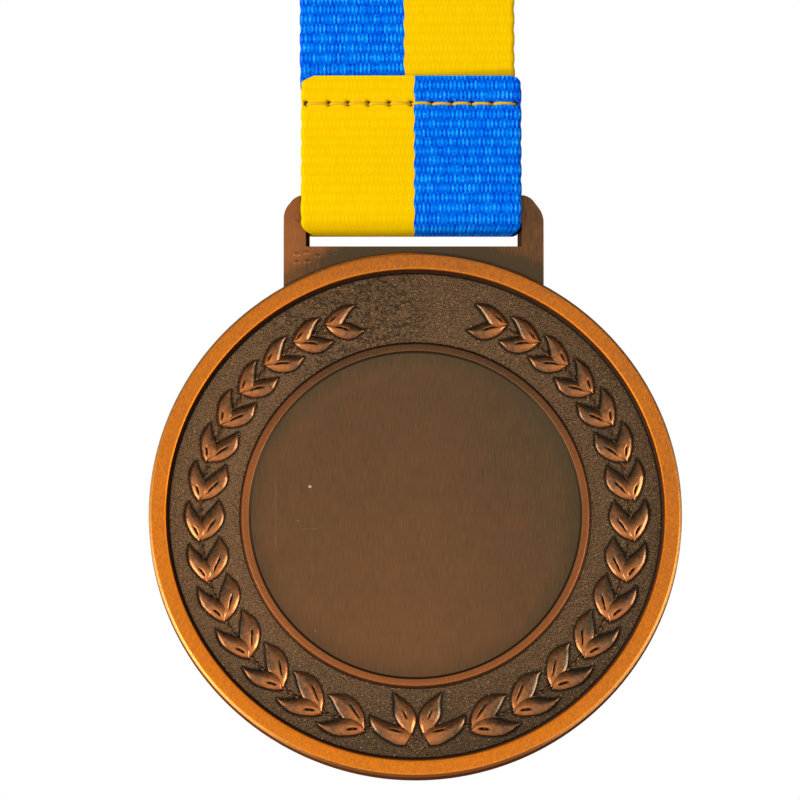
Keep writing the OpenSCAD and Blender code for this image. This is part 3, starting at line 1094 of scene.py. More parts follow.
    def _blisters(self) -> bmesh.types.BMesh:
        """Small bubbles left by the casting at the lug's lower left."""
        bm = bmesh.new()
        large = ((-14.5, 32.4), (-13.3, 32.6), (-12.0, 32.2), (-14.5, 31.4), (-13.2, 31.5))
        small = ((-10.3, 32.3), (-9.8, 32.5), (-14.5, 36.5))
        sunk = 0.03
        for spots, size in ((large, 0.42), (small, 0.28)):
            for x, y in spots:
                made = bmesh.ops.create_uvsphere(bm, u_segments=16, v_segments=8, radius=size)["verts"]
                bmesh.ops.scale(bm, vec=(1, 0.8, 0.22), verts=made)
                bmesh.ops.translate(bm, vec=(x, y, self.thick / 2 - sunk), verts=made)
        return bm


@dataclass(frozen=True)
class Slit:
    """The short groove along the middle of a leaf's base, painted dark inside as shade, with a raised lip
    beside it that is drawn brighter.

    Places and sizes across run from -1 at the leaf's inner edge to 1 at its outer edge, and places
    along it are shares of its length.

    Attributes:
        start: Where it starts along the leaf.
        stop: Where it stops.
        side: Its place across, where it starts.
        slant: How far it moves across for each leaf's length.
        wide: Half its width.
        deep: Its depth, as a share of the crown's height.
        lip_away: Distance of the lip from its middle.
        lip_wide: Half the lip's width.
        lip_high: Height of the lip, as a share of the crown's height.
    """

    start: float
    stop: float
    side: float
    slant: float
    wide: float = 0.085
    deep: float = 0.4
    lip_away: float = 0.28
    lip_wide: float = 0.12
    lip_high: float = 0.05


@dataclass(frozen=True)
class LeafShape:
    """One kind of leaf.

    Attributes:
        slit: The groove along its base.
        lit: The side that is left bright, 1 for the outer edge or -1 for the inner; the other side is
            painted darker as shade, and the slit's lip lies on the slit's side towards it.
        size: Its length, as a share of the wreath's leaf length that it takes.
        crown: Height of its crown, as a share of the wreath's leaf height.
        outline: Rows along it, as shares of its length: the place along it, the reach of its outer
            edge, the reach of its inner edge and the share of the crown's height.
    """

    slit: Slit
    lit: int
    size: float
    crown: float
    outline: tuple[Row, ...]


OUTER_LEAF = LeafShape(Slit(0.12, 0.42, 0.3, 0.5), lit=1, size=1.0, crown=1.0, outline=(
    (0.00, 0.01, 0.01, 0.45),
    (0.12, 0.085, 0.20, 0.85),
    (0.30, 0.147, 0.285, 1.00),
    (0.46, 0.18, 0.22, 0.96),
    (0.62, 0.19, 0.14, 0.90),
    (0.80, 0.145, 0.06, 0.75),
    (0.92, 0.075, 0.02, 0.55),
    (1.00, 0.01, 0.01, 0.30),
))
INNER_LEAF = LeafShape(Slit(0.18, 0.62, -0.25, -0.4), lit=-1, size=1.0, crown=0.9, outline=(
    (0.00, 0.02, 0.04, 0.40),
    (0.15, 0.08, 0.18, 0.80),
    (0.36, 0.14, 0.27, 1.00),
    (0.55, 0.125, 0.30, 0.96),
    (0.75, 0.07, 0.25, 0.84),
    (0.90, 0.015, 0.13, 0.60),
    (1.00, 0.00, 0.02, 0.25),
))
LOWEST_OUTER_LEAF = LeafShape(Slit(0.2, 0.5, -0.45, 0.3), lit=-1, size=1.12, crown=1.0, outline=(
    (0.00, 0.16, 0.16, 0.70),
    (0.15, 0.24, 0.21, 0.92),
    (0.35, 0.27, 0.13, 1.00),
    (0.55, 0.27, 0.08, 0.95),
    (0.75, 0.23, 0.04, 0.80),
    (0.92, 0.13, 0.02, 0.55),
    (1.00, 0.02, 0.02, 0.25),
))
LOWEST_INNER_LEAF = LeafShape(Slit(0.3, 0.6, 0.0, -0.2), lit=-1, size=1.08, crown=0.95, outline=(
    (0.00, 0.04, 0.10, 0.50),
    (0.15, 0.09, 0.22, 0.85),
    (0.35, 0.15, 0.29, 1.00),
    (0.56, 0.15, 0.26, 0.95),
    (0.80, 0.06, 0.14, 0.75),
    (1.00, 0.01, 0.01, 0.25),
))


@dataclass
class Wreath:
    """Two laurel branches in relief, each with a stem and pairs of leaves.

    Attributes:
        datum: Where the medal is and its outer sizes.
        field_z: Height of the field that the wreath stands on.
        pairs: Pairs on a branch, without the lowest pair.
        foot_r: Radius of the lowest pair's place.
        tip_r: Radius of the last pair's place.
        leaf_h: Height of a leaf's crown above the field.
        leaf_edge: Height of its edge, as a share of that.
        outer_length: Length of an outer leaf of middle size.
        inner_length: Length of an inner leaf of middle size.
        foot_angle: Place of the lowest pair from straight down, in degrees.
        lying: How its outer leaf is moved along the branch and outwards, and turned in degrees.
        standing: The same for its inner leaf.
        low_size: Size of the first pair's leaves, as a share of the middle size.
        tip_size: Size of the last pair's leaves.
        first_angle: Place of the first pair from straight down, in degrees.
        last_angle: Place of the last pair.
        angle_swell: How far the middle pairs are moved on towards the last one.
        outer_turn: Turn of an outer leaf out of the branch's direction.
        first_turn: The same for the first pair.
        inner_turn: Turn of an inner leaf.
        inner_step: How far it is moved along the branch and outwards.
        slit_moved: How much further out the slit of the last inner leaf is than the first one's.
        low_longer: How much longer the first pair's outer leaf is.
        right_longer: How much longer the right branch's outer leaves are.
        right_shift: How far the right branch is moved to the right, at the first and last pair.
        stem_r: Radius of the circle that the stems follow.
        stem_wire: Radius of a stem.
        stem_start: Place where a stem starts, from straight down, in degrees.
        stem_drop: How far that circle lies below the disc's centre.
        stem_twist: Length of a stem over which it twists by half a turn.
        foot_shift: How far the foot of the wreath is moved to the right.
        skirt: Depth of the leaves' sides below the field.
        leaf_steps: Steps along a leaf and across it.
    """

    datum: Datum
    field_z: float = 0.8
    pairs: int = 14
    foot_r: float = 27.4
    tip_r: float = 26.1
    leaf_h: float = 0.62
    leaf_edge: float = 0.25
    outer_length: float = 4.95
    inner_length: float = 5.2
    foot_angle: float = 2.6
    lying: tuple[float, float, float] = (-0.15, 0.35, -30.0)
    standing: tuple[float, float, float] = (-0.2, -0.4, -66.5)
    low_size: float = 1.14
    tip_size: float = 0.9
    first_angle: float = 13.0
    last_angle: float = 154.9
    angle_swell: float = 4.5
    outer_turn: float = 7.0
    first_turn: float = 3.3
    inner_turn: float = -31.0
    inner_step: tuple[float, float] = (0.2, -0.25)
    slit_moved: float = 0.55
    low_longer: float = 0.05
    right_longer: float = 0.04
    right_shift: tuple[float, float] = (0.6, 0.2)
    stem_r: float = 26.2
    stem_wire: float = 0.3
    stem_start: float = 9.0
    stem_drop: float = 0.6
    stem_twist: float = 0.9
    foot_shift: float = 0.25
    skirt: float = 0.2
    leaf_steps: tuple[int, int] = (36, 24)

    def build(self) -> list[Vector]:
        """Models both branches and the plate between their feet.

        Returns:
            Points round the feet of the leaves.
        """
        look, stem_look = (finish.material(self.datum) for finish in (LEAF_FINISH, STEM_FINISH))
        edges = []
        for side, flip in (("right", 1), ("left", -1)):
            bm = self._leaves(flip)
            edges += [vert.co.copy() for vert in bm.verts if vert.co.z < self.field_z - 0.05]
            self._piece(f"wreath_leaves_{side}", bm, look, 60)
            self._piece(f"wreath_stem_{side}", self._stem(flip), stem_look, 60)
        self._piece("wreath_foot", self._foot(), FIELD_FINISH.material(self.datum), 30)
        return edges

    def _piece(self, name: str, bm: bmesh.types.BMesh, look: bpy.types.Material,
               crease: float) -> None:
        """Puts one of the wreath's shapes in place."""
        bmesh.ops.recalc_face_normals(bm, faces=bm.faces)
        make_piece(name, bm, self.datum.face_up(), [look], Body.MEDAL, crease)

    def _on_branch(self, angle: float, r: float, flip: int, shift: float = 0.0) -> Matrix:
        """Matrix that puts a leaf on a branch: X along it, Y outwards, Z out of the face.

        Args:
            angle: Place from straight down, in degrees.
            r: Distance from the disc's centre.
            flip: 1 on the right branch, -1 on the left.
            shift: How far the place is moved to the right.

        Returns:
            The matrix.
        """
        return (Matrix.Translation((shift, 0, self.field_z)) @ Matrix.Diagonal((flip, 1, 1, 1))
                @ Matrix.Rotation(math.radians(angle - 90), 4, "Z") @ Matrix.Translation((r, 0, 0))
                @ Matrix.Rotation(math.radians(90), 4, "Z") @ Matrix.Diagonal((1, -1, 1, 1)))

    def _leaves(self, flip: int) -> bmesh.types.BMesh:
        """All leaves of one branch."""
        bm = bmesh.new()
        wear_layers(bm)
        foot = self._on_branch(self.foot_angle, self.foot_r, flip, self.foot_shift)
        self._leaf(bm, LOWEST_OUTER_LEAF, self.outer_length, self._turned(foot, *self.lying))
        self._leaf(bm, LOWEST_INNER_LEAF, self.outer_length, self._turned(foot, *self.standing))
        for index in range(self.pairs):
            self._pair(bm, flip, index)
        return bm

    def _pair(self, bm: bmesh.types.BMesh, flip: int, index: int) -> None:
        """Adds one pair of leaves.

        Args:
            bm: The branch's shape.
            flip: 1 on the right branch, -1 on the left.
            index: Number of the pair, from the branch's foot.
        """
        share, settled = index / (self.pairs - 1), smooth(index / 2)
        angle = mix(self.first_angle, self.last_angle, share)
        angle += self.angle_swell * math.sin(math.pi * share)
        size = mix(self.low_size, self.tip_size, smooth(share))
        shift = mix(*self.right_shift, share**0.5) if flip > 0 else 0.0
        place = self._on_branch(angle, mix(self.foot_r, self.tip_r, share**0.6), flip, shift)
        outer = self._turned(place, 0, 0, mix(self.first_turn, self.outer_turn, settled))
        inner = self._turned(place, *self.inner_step, self.inner_turn)
        longer = 1 + self.right_longer if flip > 0 else 1.0
        longer += self.low_longer * (1 - settled)
        self._leaf(bm, OUTER_LEAF, self.outer_length * size * longer, outer)
        self._leaf(bm, INNER_LEAF, self.inner_length * size, inner, self.slit_moved * share)

    def _turned(self, place: Matrix, along: float, out: float, turn: float) -> Matrix:
        """A place on a branch, moved along it and outwards and turned by some degrees."""
        return (place @ Matrix.Translation((along, out, 0))
                @ Matrix.Rotation(math.radians(turn), 4, "Z"))

    def _leaf(self, bm: bmesh.types.BMesh, shape: LeafShape, length: float, place: Matrix,
              slit_moved: float = 0.0) -> None:
        """Adds one plump leaf with a slit along its base.

        Args:
            bm: The branch's shape.
            shape: The leaf's kind.
            length: Length of a leaf of size 1 at its place.
            place: Matrix from the leaf to the face-up drawing.
            slit_moved: How much further out its slit is than its kind has it.
        """
        polish_and_shade, crevice = (bm.verts.layers.float[key] for key in ("polish_and_shade", "crevice"))
        slit, lit = shape.slit, shape.lit
        length, height = shape.size * length, shape.crown * self.leaf_h
        made = bmesh.ops.create_grid(bm, x_segments=self.leaf_steps[0],
                                     y_segments=self.leaf_steps[1], size=1)["verts"]
        for vert in made:
            u, v = (vert.co.x + 1) / 2, vert.co.y
            above, below, crown = read_rows(shape.outline, u)
            y = mix(-below, above, (v + 1) / 2) * length
            roof = mix(self.leaf_edge, 1, max(0.0, 1 - abs(v) ** 1.8) ** 0.85)
            along = smooth((u - slit.start) / 0.08) * smooth((slit.stop - u) / 0.12)
            away = v - (slit.side + slit_moved + slit.slant * (u - slit.start))
            groove = along * math.exp(-((away / slit.wide) ** 2))
            lip = along * math.exp(-(((away + slit.lip_away * lit) / slit.lip_wide) ** 2))
            z = height * (crown * roof - slit.deep * groove + slit.lip_high * lip)
            vert.co = (u * length, y, z)
            # Brighter towards the base and on the lip; the side away from lit is painted darker as shade,
            # and the slit is painted dark as shade.
            base = 1 - smooth((u - 0.1) / 0.6)
            vert[polish_and_shade] = 0.6 * base + 0.4 * lip - 0.4 * smooth(-v * lit) - 0.1
            vert[crevice] = min(1.0, 0.95 * groove)
        skirt = bmesh.ops.extrude_edge_only(bm, edges=self._boundary(made))["geom"]
        low = [item for item in skirt if isinstance(item, bmesh.types.BMVert)]
        for vert in low:
            vert.co.z = -self.skirt
            # Painted shade on the leaf's sides.
            vert[crevice] = 0.7
        bmesh.ops.holes_fill(bm, edges=self._boundary(low), sides=0)
        bmesh.ops.transform(bm, matrix=place, verts=made + low)

    def _boundary(self, verts: Sequence[bmesh.types.BMVert]) -> list[bmesh.types.BMEdge]:
        """The open edges at these vertices, each once and in order."""
        found = [edge for vert in verts for edge in vert.link_edges if edge.is_boundary]
        return list(dict.fromkeys(found))

    def _stem(self, flip: int) -> bmesh.types.BMesh:
        """Twisted stem on a circle a little below the disc's centre."""
        start = math.radians(self.stem_start - 90)
        sweep = math.radians(self.last_angle - self.stem_start)
        bm = bmesh.new()
        polish_and_shade, _ = wear_layers(bm)
        turn = Matrix.Rotation(start, 4, "Z") @ Matrix.Translation((self.stem_r, 0, 0))
        bmesh.ops.create_circle(bm, segments=10, radius=self.stem_wire, matrix=turn @ Matrix.Rotation(
            math.radians(90), 4, "X"))
        bmesh.ops.spin(bm, geom=bm.verts[:] + bm.edges[:], cent=(0, 0, 0), axis=(0, 0, 1),
                       dvec=(0, 0, 0), angle=sweep, steps=420, use_merge=False)
        bmesh.ops.holes_fill(bm, edges=open_edges(bm), sides=0)
        for vert in bm.verts:
            angle = math.atan2(vert.co.y, vert.co.x)
            out = Vector((math.cos(angle), math.sin(angle), 0))
            offset = Vector((vert.co.xy.length - self.stem_r, vert.co.z))
            twist = angle * self.stem_r / self.stem_twist * math.pi
            side = Vector((math.cos(twist), math.sin(twist)))
            flat = offset.dot(side) * side * 0.55
            offset = offset - flat
            spot = out * (self.stem_r + offset.x) + Vector((0, 0, offset.y))
            vert[polish_and_shade] = max(0.0, math.sin(2 * twist)) ** 4
            vert.co = (flip * spot.x, spot.y - self.stem_drop, spot.z + self.field_z)
        return bm

    def _foot(self) -> bmesh.types.BMesh:
        """Low pointed plate where the stems meet."""
        bm = bmesh.new()
        polish_and_shade, _ = wear_layers(bm)
        outline = ((-1.3, -28.2), (0, -29.6), (1.3, -28.2), (0.8, -27.2), (-0.8, -27.2))
        face = bm.faces.new(
            [bm.verts.new((x + self.foot_shift, y, self.field_z - 0.2)) for x, y in outline])
        made = bmesh.ops.extrude_face_region(bm, geom=[face])["geom"]
        raised = [item for item in made if isinstance(item, bmesh.types.BMVert)]
        bmesh.ops.translate(bm, vec=(0, 0, 0.45), verts=raised)
        bmesh.ops.bevel(bm, geom=[edge for edge in bm.edges if all(v in raised for v in edge.verts)],
                        offset=0.2, offset_type="OFFSET", segments=2, profile=0.5, affect="EDGES",
                        material=-1)
        top = max(vert.co.z for vert in bm.verts)
        for vert in bm.verts:
            vert[polish_and_shade] = 0.8 * float(self.field_z < vert.co.z < top - 0.02)
        return bm


@dataclass(frozen=True)
class Station:
    """A place on the ribbon's path.

    Attributes:
        place: Middle of the band.
        turn: Turn of its width about Z, in degrees.
        left: Half-width on the yellow side.
        right: Half-width on the blue side.
        cut_left: Part of the left half-width that is cut away.
        cut_right: Part of the right half-width that is cut away.
    """

    place: Vector
    turn: float
    left: float
    right: float
    cut_left: float = 0.0
    cut_right: float = 0.0


@dataclass
class BandPath:
    """The ribbon's path, from the flap's free end round the bar and the neck to its other end.

    Attributes:
        datum: Where the medal is and its outer sizes.
        thick: Thickness of the band.
        flap_half: Half-width of the flap.
        strap_half: Half-width of the straps.
        fold_cut_left: How far the fold is drawn in at its left end.
        fold_cut_right: The same at its right end.
        fold_corner: Height over which it is drawn in.
        flap_corner: Size of the round cut at the flap's right top corner.
        slant_cut: Width of the slanting cut at its left top corner.
        slant_h: Height of that cut.
        back_narrower: How much narrower half the back is behind the flap.
        flap_h: Height of the flap from the bottom of the fold.
        swell_h: Height above the bar up to which the layers bulge apart.
        seam_h: Height of the band's inner end above the bar.
        strap_h: Height above the flap at which the straps start.
        bar_h: Height of the bar.
        fold_gap: Gap between the fold and the bar.
        layer_y: Distance between the middles of two layers that are sewn together.
        flap_shift: Place of the flap's middle across.
        strap_shift: Place of the straps' middle across.
        neck_r: Radius of the round bend, inside.
        lean: Slant of the straps at the round bend, in degrees.
        foot_pull: Share of its height for which a strap keeps to upright at its foot.
        neck_pull: Share for which it keeps to its slant below the round bend.
        bow: How far the straps bow to the front and the back.
        turn_start: Share of a strap after which it turns.
        flap_steps: Stations along the flap.
        fold_steps: Stations round the bar.
        back_steps: Stations behind the seam.
        strap_steps: Stations along a strap.
        neck_steps: Stations round the bend over the neck.
        end_steps: Stations along the inner end.
    """

    datum: Datum
    thick: float = 0.9
    flap_half: float = 13.52
    strap_half: float = 13.18
    fold_cut_left: float = 1.46
    fold_cut_right: float = 1.2
    fold_corner: float = 1.15
    flap_corner: float = 1.3
    slant_cut: float = 1.6
    slant_h: float = 0.75
    back_narrower: float = 0.12
    flap_h: float = 19.8
    swell_h: float = 12.0
    seam_h: float = 9.0
    strap_h: float = 7.0
    bar_h: float = 3.8
    fold_gap: float = 0.25
    layer_y: float = 0.96
    flap_shift: float = -0.5
    strap_shift: float = -1.0
    neck_r: float = 60.0
    lean: float = 16.0
    foot_pull: float = 0.28
    neck_pull: float = 0.52
    bow: float = 2.6
    turn_start: float = 0.18
    flap_steps: int = 170
    fold_steps: int = 80
    back_steps: int = 120
    strap_steps: int = 300
    neck_steps: int = 400
    end_steps: int = 40

    def __post_init__(self) -> None:
        """Works out the path."""
        self.drop = -self.datum.centre_z
        self.bar_z = self.datum.lug_top - self.bar_h / 2
        self.fold_r = self.bar_h / 2 + self.fold_gap + self.thick / 2
        self.flap_top = self.bar_z - self.fold_r - self.thick / 2 + self.flap_h
        self.swell_top = self.bar_z + self.swell_h
        self.strap_foot = self.bar_z + self.seam_h
        self.strap_start = self.flap_top + self.strap_h
        self.neck_line_r = self.neck_r + self.thick / 2
        self.stations = self._stations()
        self.reach = [0.0]
        for a, b in zip(self.stations, self.stations[1:]):
            self.reach.append(self.reach[-1] + (b.place - a.place).length)
        self.length = self.reach[-1]

    def _stations(self) -> list[Station]:
        """Closely spaced stations along the whole path."""
        up_strap = [step / self.strap_steps for step in range(self.strap_steps)]
        return (self._flap() + self._fold() + self._behind()
                + [self._strap(1, u) for u in up_strap]
                + [self._neck(step / self.neck_steps) for step in range(self.neck_steps)]
                + [self._strap(-1, 1 - u) for u in up_strap]
                + [self._end(step / self.end_steps) for step in range(self.end_steps + 1)])

    def _swell(self, z: float) -> float:
        """Distance of the band from the middle layer at a height near the bar."""
        share = smooth((self.swell_top - z) / (self.swell_top - self.bar_z))
        return mix(self.layer_y, self.fold_r, share)

    def _flap(self) -> list[Station]:
        """From the flap's free end down to the bar's middle."""
        found = []
        for step in range(self.flap_steps):
            down = (self.flap_top - self.bar_z) * step / self.flap_steps
            z = self.flap_top - down
            slant = self.slant_cut * max(0.0, 1 - down / self.slant_h)
            away = max(0.0, 1 - down / self.flap_corner)
            round_cut = self.flap_corner * (1 - math.sqrt(1 - away**2))
            found.append(Station(Vector((self.flap_shift, -self._swell(z), z)), 0, self.flap_half,
                                 self.flap_half, slant, round_cut))
        return found

    def _fold(self) -> list[Station]:
        """Round the bar from the front to the back, narrower where the slot holds it."""
        found = []
        for step in range(self.fold_steps):
            angle = math.radians(mix(-90, 90, step / self.fold_steps))
            rise = (self.fold_r + self.thick / 2) * (1 - math.cos(angle))
            squeeze = 1 - math.sqrt(max(0.0, 1 - max(0.0, 1 - rise / self.fold_corner) ** 2))
            half = mix(self.flap_half, self.strap_half, max(0.0, angle / math.radians(90)))
            found.append(Station(
                Vector((self.flap_shift, self.fold_r * math.sin(angle),
                        self.bar_z - self.fold_r * math.cos(angle))),
                0, half - self.fold_cut_left * squeeze, half - self.fold_cut_right * squeeze))
        return found

    def _behind(self) -> list[Station]:
        """From the bar's middle up behind the seam to the foot of the strap."""
        found = []
        for step in range(self.back_steps):
            z = mix(self.bar_z, self.strap_start, step / self.back_steps)
            share = smooth((z - self.bar_z - 4) / (self.flap_top - self.bar_z - 2))
            shift = mix(self.flap_shift, self.strap_shift, share)
            half = self.strap_half - self.back_narrower * share
            found.append(Station(Vector((shift, self._swell(z), z)), 0, half, half))
        return found

    def _strap(self, side: int, u: float) -> Station:
        """A station of a strap.

        Args:
            side: 1 for the right strap, -1 for the left one.
            u: Share of the way from the seam to the round bend.

        Returns:
            The station.
        """
        lean = math.radians(self.lean)
        neck_y, neck_z = self.layer_y / 2, self.drop - self.neck_r
        start = Vector((self.strap_shift, self.layer_y if side > 0 else 0, self.strap_start))
        end = Vector((side * self.neck_line_r * math.cos(lean), neck_y,
                      neck_z - self.neck_line_r * math.sin(lean)))
        rise = end.z - start.z
        low = start + Vector((0, 0, self.foot_pull * rise))
        high = end - self.neck_pull * rise * Vector((side * math.sin(lean), 0, math.cos(lean)))
        v = 1 - u
        place = v**3 * start + 3 * v * v * u * low + 3 * v * u * u * high + u**3 * end
        place.y += side * self.bow * (4 * u * v) ** 1.5
        turn = 90 * smooth((u - self.turn_start) / (1 - self.turn_start))
        half = self.strap_half
        if side > 0:
            half -= self.back_narrower * (1 - smooth(u / 0.3))
        return Station(place, turn if side > 0 else 180 - turn, half, half)

    def _neck(self, share: float) -> Station:
        """A station of the round bend over the neck."""
        angle = math.radians(mix(-self.lean, 180 + self.lean, share))
        place = Vector((self.neck_line_r * math.cos(angle), self.layer_y / 2,
                        self.drop - self.neck_r + self.neck_line_r * math.sin(angle)))
        return Station(place, 90, self.strap_half, self.strap_half)

    def _end(self, share: float) -> Station:
        """A station of the last stretch, down between the flap and the back."""
        z = mix(self.strap_start, self.strap_foot, share)
        up = smooth((z - self.strap_foot - 1) / (self.flap_top - self.strap_foot + 1))
        shift = mix(self.flap_shift, self.strap_shift, up)
        return Station(Vector((shift, 0, z)), 180, self.strap_half, self.strap_half)

    def at(self, along: float) -> Station:
        """The station at a length along the path."""
        index = min(max(bisect.bisect_right(self.reach, along) - 1, 0), len(self.reach) - 2)
        a, b = self.stations[index], self.stations[index + 1]
        u = (along - self.reach[index]) / (self.reach[index + 1] - self.reach[index])
        return Station(a.place.lerp(b.place, u), *(mix(getattr(a, key), getattr(b, key), u) for key in
                       ("turn", "left", "right", "cut_left", "cut_right")))

    def heading(self, along: float) -> Vector:
        """Direction of the path at a length along it."""
        step = 0.6
        ahead = self.at(min(along + step, self.length)).place
        return (ahead - self.at(max(along - step, 0)).place).normalized()

    def length_where(self, test: Callable[[Station], bool]) -> float:
        """The first length along the path whose station passes a test."""
        return next(reach for reach, station in zip(self.reach, self.stations) if test(station))


@dataclass(frozen=True)
class Stretch:
    """One stretch of the ribbon that is made as a piece.

    Attributes:
        name: The piece's name.
        start: Length along the path where it starts.
        stop: Length along the path where it stops.
        step: Distance between its rings.
        out_columns: Columns across its outer side.
        in_columns: Columns across its inner side.
        relief_out: Whether the weave is modelled on the outer side.
        relief_in: Whether the weave is modelled on the inner side.
    """

    name: str
    start: float
    stop: float
    step: float
    out_columns: int
    in_columns: int
    relief_out: bool = False
    relief_in: bool = False


@dataclass
class Ribbon:
    """The woven band, made in three stretches that meet end to end, and the seam that holds it.

    Attributes:
        datum: Where the medal is and its outer sizes.
        path: The band's path.
        lug: The lug whose slot holds the fold.
        weave: Sizes of the weave.
        seam_z: Height of the row of stitches.
        holes: Places of the needle holes across, as the photograph shows them.
        hole_r: Radius of a needle hole.
        hole_rise: Height of the holes' middles above the row of stitches.
        hole_depth: Depth of a needle hole.
        thread_r: Radius of the sewing thread.
        stitch_h: Height of a stitch's middle above the cloth, in thread radii.
        stitch_dive: How much lower its ends are, in thread radii.
        stitch_bow: How far its middle is raised along the cloth.
        stitch_stray: How far the stitches stray up and down from their row.
        stitch_steps: Pieces that a stitch is cut into.
        edge_steps: Pieces that a round selvedge is cut into.
        turn_top: Height above the bar's middle from which the fold turns with the slot.
        turn_foot: Height at which it turns with the slot wholly.
        post_gap: Gap that is kept between the fold and the lug's posts.
        edge_shadow: Darkness of the flap's shadow on the strap above it.
        shadow_h: Height of that shadow.
    """

    datum: Datum
    path: BandPath
    lug: Lug
    weave: Weave = Weave()
    seam_z: float = 51.1
    holes: tuple[float, ...] = (-13.4, -10.6, -8.25, -5.75, -3.2, -0.5, 2.0, 4.5, 6.9, 9.4, 12.3)
    hole_r: float = 0.27
    hole_rise: float = 0.1
    hole_depth: float = 0.35
    thread_r: float = 0.18
    stitch_h: float = 0.75
    stitch_dive: float = 5.0
    stitch_bow: float = 0.08
    stitch_stray: float = 0.03
    stitch_steps: int = 16
    edge_steps: int = 5
    turn_top: float = 4.0
    turn_foot: float = -1.0
    post_gap: float = 0.08
    edge_shadow: float = 0.3
    shadow_h: float = 0.36

    def build(self) -> None:
        path, rows = self.path, self.weave.row_pitch / 6
        fine = round(4 * self.weave.flat_half / self.weave.yarn_pitch)
        back_seam = path.length_where(
            lambda station: station.place.y > 0.5 and station.place.z > self.seam_z)
        end_start = path.length_where(
            lambda station: station.turn > 179.9 and station.place.z < path.strap_start + 9)
        stretches = (
            Stretch("ribbon_flap", 0, back_seam, rows, fine, 40, relief_out=True),
            Stretch("ribbon_loop", back_seam, end_start, 0.5, 20, 20),
            Stretch("ribbon_end", end_start, path.length, rows, 40, fine, relief_in=True),
        )
        fine_look = RibbonFinish("ribbon_weave_fine", self.weave, 0.012).material(self.datum)
        plain_look = RibbonFinish("ribbon_weave", self.weave, 0.025).material(self.datum)
        for stretch in stretches:
            modelled = stretch.relief_out or stretch.relief_in
            body = None if stretch.relief_out else Body.RIBBON
            piece = make_piece(stretch.name, self._band(stretch), self.datum.hanging(),
                               [fine_look if modelled else plain_look], body, 75)
            if body is None:
                self._follow_slot(piece)
            if stretch.name == "ribbon_loop":
                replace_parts(piece, "ribbon")
        self._thread("seam_thread_front", -1)
        self._thread("seam_thread_back", 1)

    def _follow_slot(self, piece: bpy.types.Object) -> None:
        """Lets the fold turn with the slot that holds it, while the flap above stays as it is."""
        above, below = (self.datum.hanging() @ Vector((0, 0, self.path.bar_z + rise))
                        for rise in (self.turn_top, self.turn_foot))
        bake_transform(piece, Body.RIBBON.value, Body.MEDAL.value, tuple(above), tuple(below))

    def _beside_posts(self, spot: Vector) -> Vector:
        """Moves a point of the fold off the posts between which it passes."""
        lug = self.lug
        if abs(spot.y) < lug.thick / 2 + 0.2 and spot.z < self.datum.lug_top:
            half = lug.slot_half - lug.draft * (0.5 + spot.y / lug.thick) - self.post_gap
            spot.x = lug.shift + squeezed(spot.x - lug.shift, half)
        return spot

    def _ring(self, stretch: Stretch) -> list[tuple[float, float]]:
        """Corners of the band's section, once round it: across and out, in millimetres."""
        flat, half = self.weave.flat_half, self.path.thick / 2
        turns = [k * math.pi / self.edge_steps for k in range(1, self.edge_steps)]
        corners = [(mix(-flat, flat, k / stretch.out_columns), half)
                   for k in range(stretch.out_columns + 1)]
        corners += [(flat + half * math.sin(turn), half * math.cos(turn)) for turn in turns]
        corners += [(mix(flat, -flat, k / stretch.in_columns), -half)
                    for k in range(stretch.in_columns + 1)]
        corners += [(-flat - half * math.sin(turn), -half * math.cos(turn)) for turn in turns]
        return corners

    def _band(self, stretch: Stretch) -> bmesh.types.BMesh:
        """Wraps a grid into the closed band of one stretch.

        Args:
            stretch: The stretch.

        Returns:
            Its shape.
        """
        ring = self._ring(stretch)
        rows = max(2, round((stretch.stop - stretch.start) / stretch.step))
        bm = bmesh.new()
        # The hole value is painted shade in the needle holes and the flap's painted shadow on the strap
        # above it.
        across, along, hole = (bm.verts.layers.float.new(key) for key in ("across", "along", "hole"))
        bmesh.ops.create_grid(bm, x_segments=rows, y_segments=len(ring), size=1)
        frames = [self._frame(mix(stretch.start, stretch.stop, row / rows)) for row in range(rows + 1)]
        for vert in bm.verts:
            row, corner = grid_place(vert, rows, len(ring))
            side, out = ring[corner % len(ring)]
            reach, station, width, up = frames[row]
            vert[across], vert[along] = side, reach
            place, pit = self._skin(stretch, station, side, out, reach)
            vert.co = self._beside_posts(station.place + place[0] * width + place[1] * up)
            vert[hole] = pit
        close_tube(bm)
        return bm

    def _frame(self, reach: float) -> tuple[float, Station, Vector, Vector]:
        """A length along the path with its station and the directions across and out there."""
        station, heading = self.path.at(reach), self.path.heading(reach)
        turn = math.radians(station.turn)
        width = Vector((math.cos(turn), math.sin(turn), 0))
        width = (width - width.dot(heading) * heading).normalized()
        return reach, station, width, heading.cross(width)

    def _skin(self, stretch: Stretch, station: Station, side: float, out: float,
              reach: float) -> tuple[tuple[float, float], float]:
        """Place of a corner of the section on the real band.

        Args:
            stretch: The stretch that it is on.
            station: The station that it is at.
            side: The corner's place across the plain section.
            out: The corner's place through the plain section.
            reach: Length along the path.

        Returns:
            Its place across and out, and how much painted shade it gets in a needle hole and as the flap's
            painted shadow just above the flap.
        """
        weave, nominal = self.weave, self.weave.flat_half + self.path.thick / 2
        ripple = weave.scallop * math.cos(math.pi * reach / weave.row_pitch)
        half = station.right if side > 0 else station.left
        cut = station.cut_right if side > 0 else station.cut_left
        stretched = side * (half + ripple * abs(side / nominal) ** 8) / nominal
        stretched = squeezed(stretched, half - cut)
        flat = abs(out) > 0.99 * self.path.thick / 2
        if flat and (stretch.relief_out if out > 0 else stretch.relief_in):
            out += math.copysign(weave.relief * weave.height(side, reach), out)
        # Needle holes dent the cloth and are painted dark as shade.
        pit = self._pit(station, stretched) if flat else 0.0
